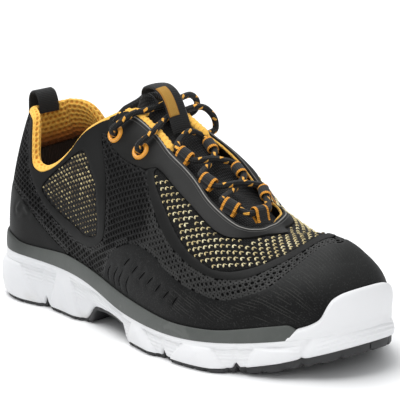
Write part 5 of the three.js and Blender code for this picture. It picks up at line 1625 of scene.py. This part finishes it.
TONGUE_PULL = list(zip([121.8, 122.4, 124.8, 129.0, 134.2, 139.4, 143.6, 147.0, 149.6, 151.0], [136.6, 139.5, 141.4, 142.0, 141.5, 138.8, 133.4, 126.4, 120.2, 116.8]))
HEEL_PULL = list(zip([3.6, 4.9, 6.2, 7.0, 7.6, 9.4, 12.4, 15.6, 17.5, 18.2, 18.4], [91, 99, 107, 113, 118.4, 122.2, 123.4, 121.8, 118.0, 113.6, 110.2]))
v, f, uv, top, pull_c, pull_n, pull_at = strap_mesh(TONGUE_PULL, 14.0, 1.5, 0.8, drop=0.7)
build("tongue_pull_strap", v, f, webbing("webbing_tongue_pull", (0.007, 0.007, 0.007), light=(0.026, 0.026, 0.026)), replaces=["tongue_pull_loop"], uv=uv, attrs={"top": top}, sharp=60)
v, f, uv, top, _, _, _ = strap_mesh(HEEL_PULL, 15.0, 1.5, 0.0)
build("heel_pull_strap", v, f, webbing("webbing_heel_pull", (0.008, 0.008, 0.008), rib=1.0, light=(0.03, 0.03, 0.03)), replaces=["heel_pull_loop"], uv=uv, attrs={"top": top}, sharp=60)


def pull_label():
    """Plain woven label sewn on the face of the tongue's pull loop."""
    i = np.arange(42, 94)
    u = np.linspace(-1, 1, 12)
    c, n = pull_c[i], pull_n[i]
    rows = []
    for k in range(len(i)):
        rim = min(1.0, min(k, len(i) - 1 - k) / 1.5)
        lo, hi = [], []
        for q in u:
            e = rim * (1 if abs(q) < 0.95 else 0.2)
            y = -2.1 + q * 3.6
            q2 = (y - 0.8) / 7.0
            lift, fall = 0.75, 0.7 * float(smooth((c[k, 0] - 117) / 8)) * q2 * q2
            hi.append([c[k, 0] + n[k, 0] * (lift + 0.45 * e), y, c[k, 1] + n[k, 1] * (lift + 0.45 * e) - fall])
            lo.append([c[k, 0] + n[k, 0] * (lift - 0.25), y, c[k, 1] + n[k, 1] * (lift - 0.25) - fall])
        rows.append(hi + lo[::-1])
    g = np.array(rows)
    v, f = sections(g)
    at = pull_at[i]
    uv = np.concatenate([np.stack(np.broadcast_arrays(at[:, None], np.tile(np.concatenate([u, u[::-1]]) * 3.6, 1)[None]), -1).reshape(-1, 2), [[0, 0], [1, 0]]])
    return v, f, uv


def label_cloth(name, colour):
    p = Paint(name)
    x, g = p.chart()
    w = p.mul(p.math("SINE", p.mul(x, TAU / 0.55)), p.math("SINE", p.mul(g, TAU / 0.5)))
    fuzz = p.noise(1200.0, 2.0)
    rim = p.step(p.math("ABSOLUTE", g), 2.8, 3.1)
    col = p.mix(p.step(p.add(w, fuzz), 0.0, 1.2), tuple(c * 0.72 for c in colour), colour)
    col = p.mix(p.mul(rim, 0.6), col, (0.32, 0.12, 0.01))
    return p.finish(col, 0.7, p.bump(p.add(p.mul(w, 0.08), p.mul(fuzz, 0.08)), 1.0), spec=0.3)


v, f, uv = pull_label()
build("tongue_pull_label", v, f, label_cloth("label_orange", (0.50, 0.27, 0.045)), uv=uv, sharp=50)


# ------------------------------------------------------------------ eyelets, loops and lace
EYELETS = [("eyelet_lateral_1", 78.7, 114.8), ("eyelet_lateral_2", 89.0, 108.2), ("eyelet_medial_1", 281.3, 114.8), ("eyelet_medial_2", 271.0, 108.2)]


def frame_on_form(a, z):
    s = np.radians(a)
    v = float(height_to_v(np.array([s]), np.array([z]))[0])
    e = 1e-3
    p = form(s, v)
    n = np.cross(form(s + e, v) - form(s - e, v), form(s, v + e) - form(s, v - e))
    n /= np.linalg.norm(n)
    if n[1] * (-1 if s < np.pi else 1) < 0:
        n = -n
    return p, n


E = {name: frame_on_form(a, z) for name, a, z in EYELETS}


def lathe(profile, p, n, turns=48):
    side_ = np.cross(n, [0.2, 0.1, 1.0])
    side_ /= np.linalg.norm(side_)
    other = np.cross(n, side_)
    a = np.arange(turns) * TAU / turns
    ring = side_[None] * np.cos(a)[:, None] + other[None] * np.sin(a)[:, None]
    g = np.array([p + ring * r + n * h for r, h in profile])
    k, m = g.shape[:2]
    f = np.concatenate([grid_faces(k, m, wrap=True), np.stack([(k - 1) * m + np.arange(m), (k - 1) * m + (np.arange(m) + 1) % m, (np.arange(m) + 1) % m, np.arange(m)], 1)])
    uv = np.stack(np.broadcast_arrays((a * 5)[None], np.array([h for _, h in profile])[:, None]), -1).reshape(-1, 2)
    return g.reshape(-1, 3), f, uv


EYELET_PROFILE = spline([(3.0, -2.9), (3.0, -0.5), (3.05, 1.2), (3.35, 2.1), (4.0, 2.45), (4.7, 2.25), (5.25, 1.5), (5.5, 0.6), (5.5, 0.1)], 0.22)
EYELET_PROFILE = np.concatenate([EYELET_PROFILE, [(3.9, 0.1), (3.9, -2.9)]])
M_EYELET = mat_plain("eyelet_orange", (0.80, 0.335, 0.030), 0.34, 0.10, 0.015, 500.0, 0.5, coat=0.25, cloud=90.0)
for name, a, z in EYELETS:
    v, f, uv = lathe(EYELET_PROFILE, *E[name])
    build(name + "_ring", v, f, M_EYELET, replaces=[name], uv=uv, sharp=50)

LOOPS = [("lace_loop_lateral_1", 168.6, -11.6, 108.2, -90, 4.5), ("lace_loop_lateral_2", 190.0, -12.4, 96.2, -90, 4.6), ("lace_loop_lateral_3", 210.8, -13.4, 85.2, -80, 5.0), ("lace_loop_front", 220.6, -1.6, 81.0, 0, 5.6), ("lace_loop_medial_3", 206.6, 14.6, 86.6, 76, 7.0), ("lace_loop_medial_2", 186.6, 12.6, 97.2, 90, 6.6), ("lace_loop_medial_1", 165.8, 8.9, 109.4, 90, 4.2)]
unit = lambda q: np.asarray(q, float) / np.linalg.norm(q)


def loop_frame(x, heading):
    h = math.radians(heading)
    out = np.array([math.cos(h), math.sin(h), 0.0])
    slope = float(tab(RIDGE, "z", x + 4) - tab(RIDGE, "z", x - 4)) / 8
    axis = unit([-math.sin(h), math.cos(h), -math.sin(h) * slope])
    tab_dir = unit([out[0], out[1], out[0] * slope - abs(out[1]) * 0.42 - 0.1 * abs(out[0])])
    up_ = unit(np.cross(axis, tab_dir))
    if up_[2] < 0:
        up_ = -up_
    z_axis = unit(np.cross(tab_dir, up_))
    return tab_dir, unit(np.cross(z_axis, tab_dir)), z_axis


LOOP = {}
for name, x, y, z, heading, tab_len in LOOPS:
    LOOP[name.replace("lace_loop_", "")] = (np.array([x, y, z]), *loop_frame(x, heading), tab_len)


def loop_mesh(q):
    c, t, u, ax, tab_len = q
    arc = [(3.0 * math.cos(math.radians(k)), 3.0 * math.sin(math.radians(k))) for k in range(30, 300, 15)]
    path = [(tab_len + 1.2, -1.2), (tab_len - 0.5, -0.5), (3.6, 0.95)] + arc + [(2.2, -2.75), (tab_len, -2.8)]
    c2 = spline(np.array(path), 0.3)
    d = np.concatenate([[0], np.cumsum(np.linalg.norm(np.diff(c2, axis=0), axis=1))])
    at = np.linspace(0, d[-1], 70)
    c2 = np.stack([np.interp(at, d, c2[:, 0]), np.interp(at, d, c2[:, 1])], 1)
    tt = np.gradient(c2, axis=0)
    tt /= np.linalg.norm(tt, axis=1)[:, None]
    nn = np.stack([-tt[:, 1], tt[:, 0]], 1)
    wide, thick = 8.9, 0.78
    qs = np.linspace(-1, 1, 14)
    ring = [(k, 1 - 0.7 * max(0, (abs(k) - 0.88) / 0.12) ** 2) for k in qs]
    ring = ring + [(k, -h) for k, h in ring[::-1]]
    g = np.array([[c + t * (c2[i, 0] + nn[i, 0] * h * thick / 2) + u * (c2[i, 1] + nn[i, 1] * h * thick / 2) + ax * (k * wide / 2 * (1 + 0.05 * math.sin(i / 9.0))) for k, h in ring] for i in range(len(at))])
    v, f = sections(g)
    uv = np.concatenate([np.stack(np.broadcast_arrays(at[:, None], np.array([k * wide / 2 for k, _ in ring])[None]), -1).reshape(-1, 2), [[0, 0], [at[-1], 0]]])
    return v, f, uv


M_LOOP = webbing("webbing_loops", stripe=(2.9, (0.72, 0.30, 0.03)), rib=1.1)
for name, *_ in LOOPS:
    v, f, uv = loop_mesh(LOOP[name.replace("lace_loop_", "")])
    build(name + "_webbing", v, f, M_LOOP, replaces=[name], uv=uv, sharp=60)


def through(name, reach):
    c, t, u, ax, _ = LOOP[name]
    return c + ax * reach


def along(name, toe):
    return float(np.sign(LOOP[name][3][0])) * (1 if toe else -1)


REACH = 8.5 / 2 + 2.4


def edge_point(name, toe):
    return through(name, along(name, toe) * REACH)


def front_point(side):
    return through("front", float(np.sign(LOOP["front"][3][1])) * side * REACH)


def half_lace(names, side):
    pts = [through(names[0], 0), edge_point(names[0], True)]
    for i in range(1, len(names)):
        a, b = pts[-1], edge_point(names[i], False)
        mid = (a + b) / 2 + np.array([0, 0, 1.8 if (i + (1 if side > 0 else 0)) % 2 else -1.2])
        pts += [mid, b, through(names[i], 0), edge_point(names[i], True)]
    return pts + [front_point(side), through("front", side * -0.6 * float(np.sign(LOOP["front"][3][1])))]


def off_eyelet(name, d):
    p, n = E[name]
    return p + n * d


def lifted(name, h, t, to):
    p, n = E[name]
    d = np.asarray(to, float) - p
    return p + n * h + unit(d - n * (d @ n)) * t


A = np.array
LACE_LINES = {
    "lace_crossing_lateral": half_lace(["lateral_1", "medial_2", "lateral_3"], -1),
    "lace_crossing_medial": half_lace(["medial_1", "lateral_2", "medial_3"], 1),
    "lace_crossing_top": [through("lateral_1", along("lateral_1", True) * 0.6), edge_point("lateral_1", False), A([158.5, -8.5, 113.8]), A([157, 0.8, 117.8]), A([158, 8.5, 114.4]), edge_point("medial_1", False), through("medial_1", along("medial_1", True) * 0.6)],
    "lace_bar_upper": [off_eyelet("eyelet_lateral_1", -1.6), off_eyelet("eyelet_lateral_1", 1.0), off_eyelet("eyelet_lateral_1", 3.4), lifted("eyelet_lateral_1", 5.4, 2.4, [127, -17.8, 126]), A([123.4, -22.6, 123.2]), A([127.2, -17.0, 127.4]), A([131.0, -9.5, 128.8]), A([133.5, 0.5, 130.4]), A([133.4, 9, 131.0]), A([131.6, 17, 132.2]), A([129.6, 25, 131.8]), A([127.2, 31.2, 126.2]), A([123.0, 31.4, 119.6]), off_eyelet("eyelet_medial_1", 4.2), off_eyelet("eyelet_medial_1", 1.2), off_eyelet("eyelet_medial_1", -1.6)],
    "lace_bar_lower": [off_eyelet("eyelet_lateral_2", -1.6), off_eyelet("eyelet_lateral_2", 1.0), off_eyelet("eyelet_lateral_2", 3.4), lifted("eyelet_lateral_2", 5.4, 2.4, [146, -16, 119]), A([145.8, -22.2, 116.8]), A([146.6, -16.6, 120.2]), A([143.6, -8.6, 123.2]), A([141.0, 0.5, 125.4]), A([140.4, 9, 126.0]), A([141.2, 18, 127.2]), A([141.8, 25.6, 125.4]), A([142.3, 31.6, 118.6]), A([142.6, 32.0, 111.8]), off_eyelet("eyelet_medial_2", 4.2), off_eyelet("eyelet_medial_2", 1.2), off_eyelet("eyelet_medial_2", -1.6)],
}


def lace_paint():
    """Round braid, black, with pairs of orange picks."""
    p = Paint("lace_braid")
    x, g = p.chart()  # length, turn (10 = once round)
    braid = p.mul(p.math("SINE", p.add(p.mul(x, TAU / 1.9), p.mul(g, TAU / 2.5))), p.math("SINE", p.sub(p.mul(x, TAU / 1.9), p.mul(g, TAU / 2.5))))
    fuzz = p.noise(1500.0, 2.0)
    col = p.mix(p.mul(p.step(braid, -0.2, 0.9), p.step(fuzz, 0.2, 0.8)), (0.008, 0.008, 0.008), (0.040, 0.039, 0.037))
    picks = None
    for dx, dg in ((0.0, 0.6), (3.4, 2.8), (6.8, 5.8), (10.2, 8.0)):
        fx = p.sub(p.math("FLOORED_MODULO", p.sub(x, dx + 0.0), 13.6), 6.8)
        fg = p.sub(p.math("FLOORED_MODULO", p.sub(g, dg), 10.0), 5.0)
        slant = p.add(fg, p.mul(fx, 0.45))
        m = p.mul(p.step(p.math("ABSOLUTE", fx), 1.55, 1.2), p.step(p.math("ABSOLUTE", slant), 0.86, 0.58))
        picks = m if picks is None else p.math("MAXIMUM", picks, m)
    col = p.mix(picks, col, p.mix(p.step(fuzz, 0.3, 0.7), (0.78, 0.33, 0.03), (0.95, 0.52, 0.10)))
    height = p.add(p.add(p.mul(p.step(braid, -0.4, 0.8), 0.25), p.mul(picks, 0.12)), p.mul(fuzz, 0.08))
    return p.finish(col, 0.75, p.bump(height, 1.0), spec=0.25, sheen=0.1, sheen_rough=0.4)


M_LACE = lace_paint()
CORDS = {}
for name, line in LACE_LINES.items():
    v, f, uv, c, at = tube(np.array(line), 1.92, sides=20, step=0.55)
    swell = 1 + 0.035 * np.sin(TAU * at / 1.9)
    CORDS[name] = float(at[-1])
    rep = {"lace_bar_upper": ["lace_bar_1"], "lace_bar_lower": ["lace_bar_2"], "lace_crossing_lateral": ["lace_crossings"]}.get(name, ())
    build(name, v, f, M_LACE, replaces=rep, uv=uv)


# ------------------------------------------------------------------ floor
bpy.ops.mesh.primitive_grid_add(x_subdivisions=4, y_subdivisions=4, size=6.0, location=(0, 0, 0))
floor = bpy.context.object
floor.name = "floor"
p = Paint("floor_white")
floor_tone = p.mix(p.noise(1.2, 2.0), (0.90, 0.905, 0.91), (0.94, 0.94, 0.94))
floor.data.materials.append(p.finish(floor_tone, 0.6, spec=0.25))
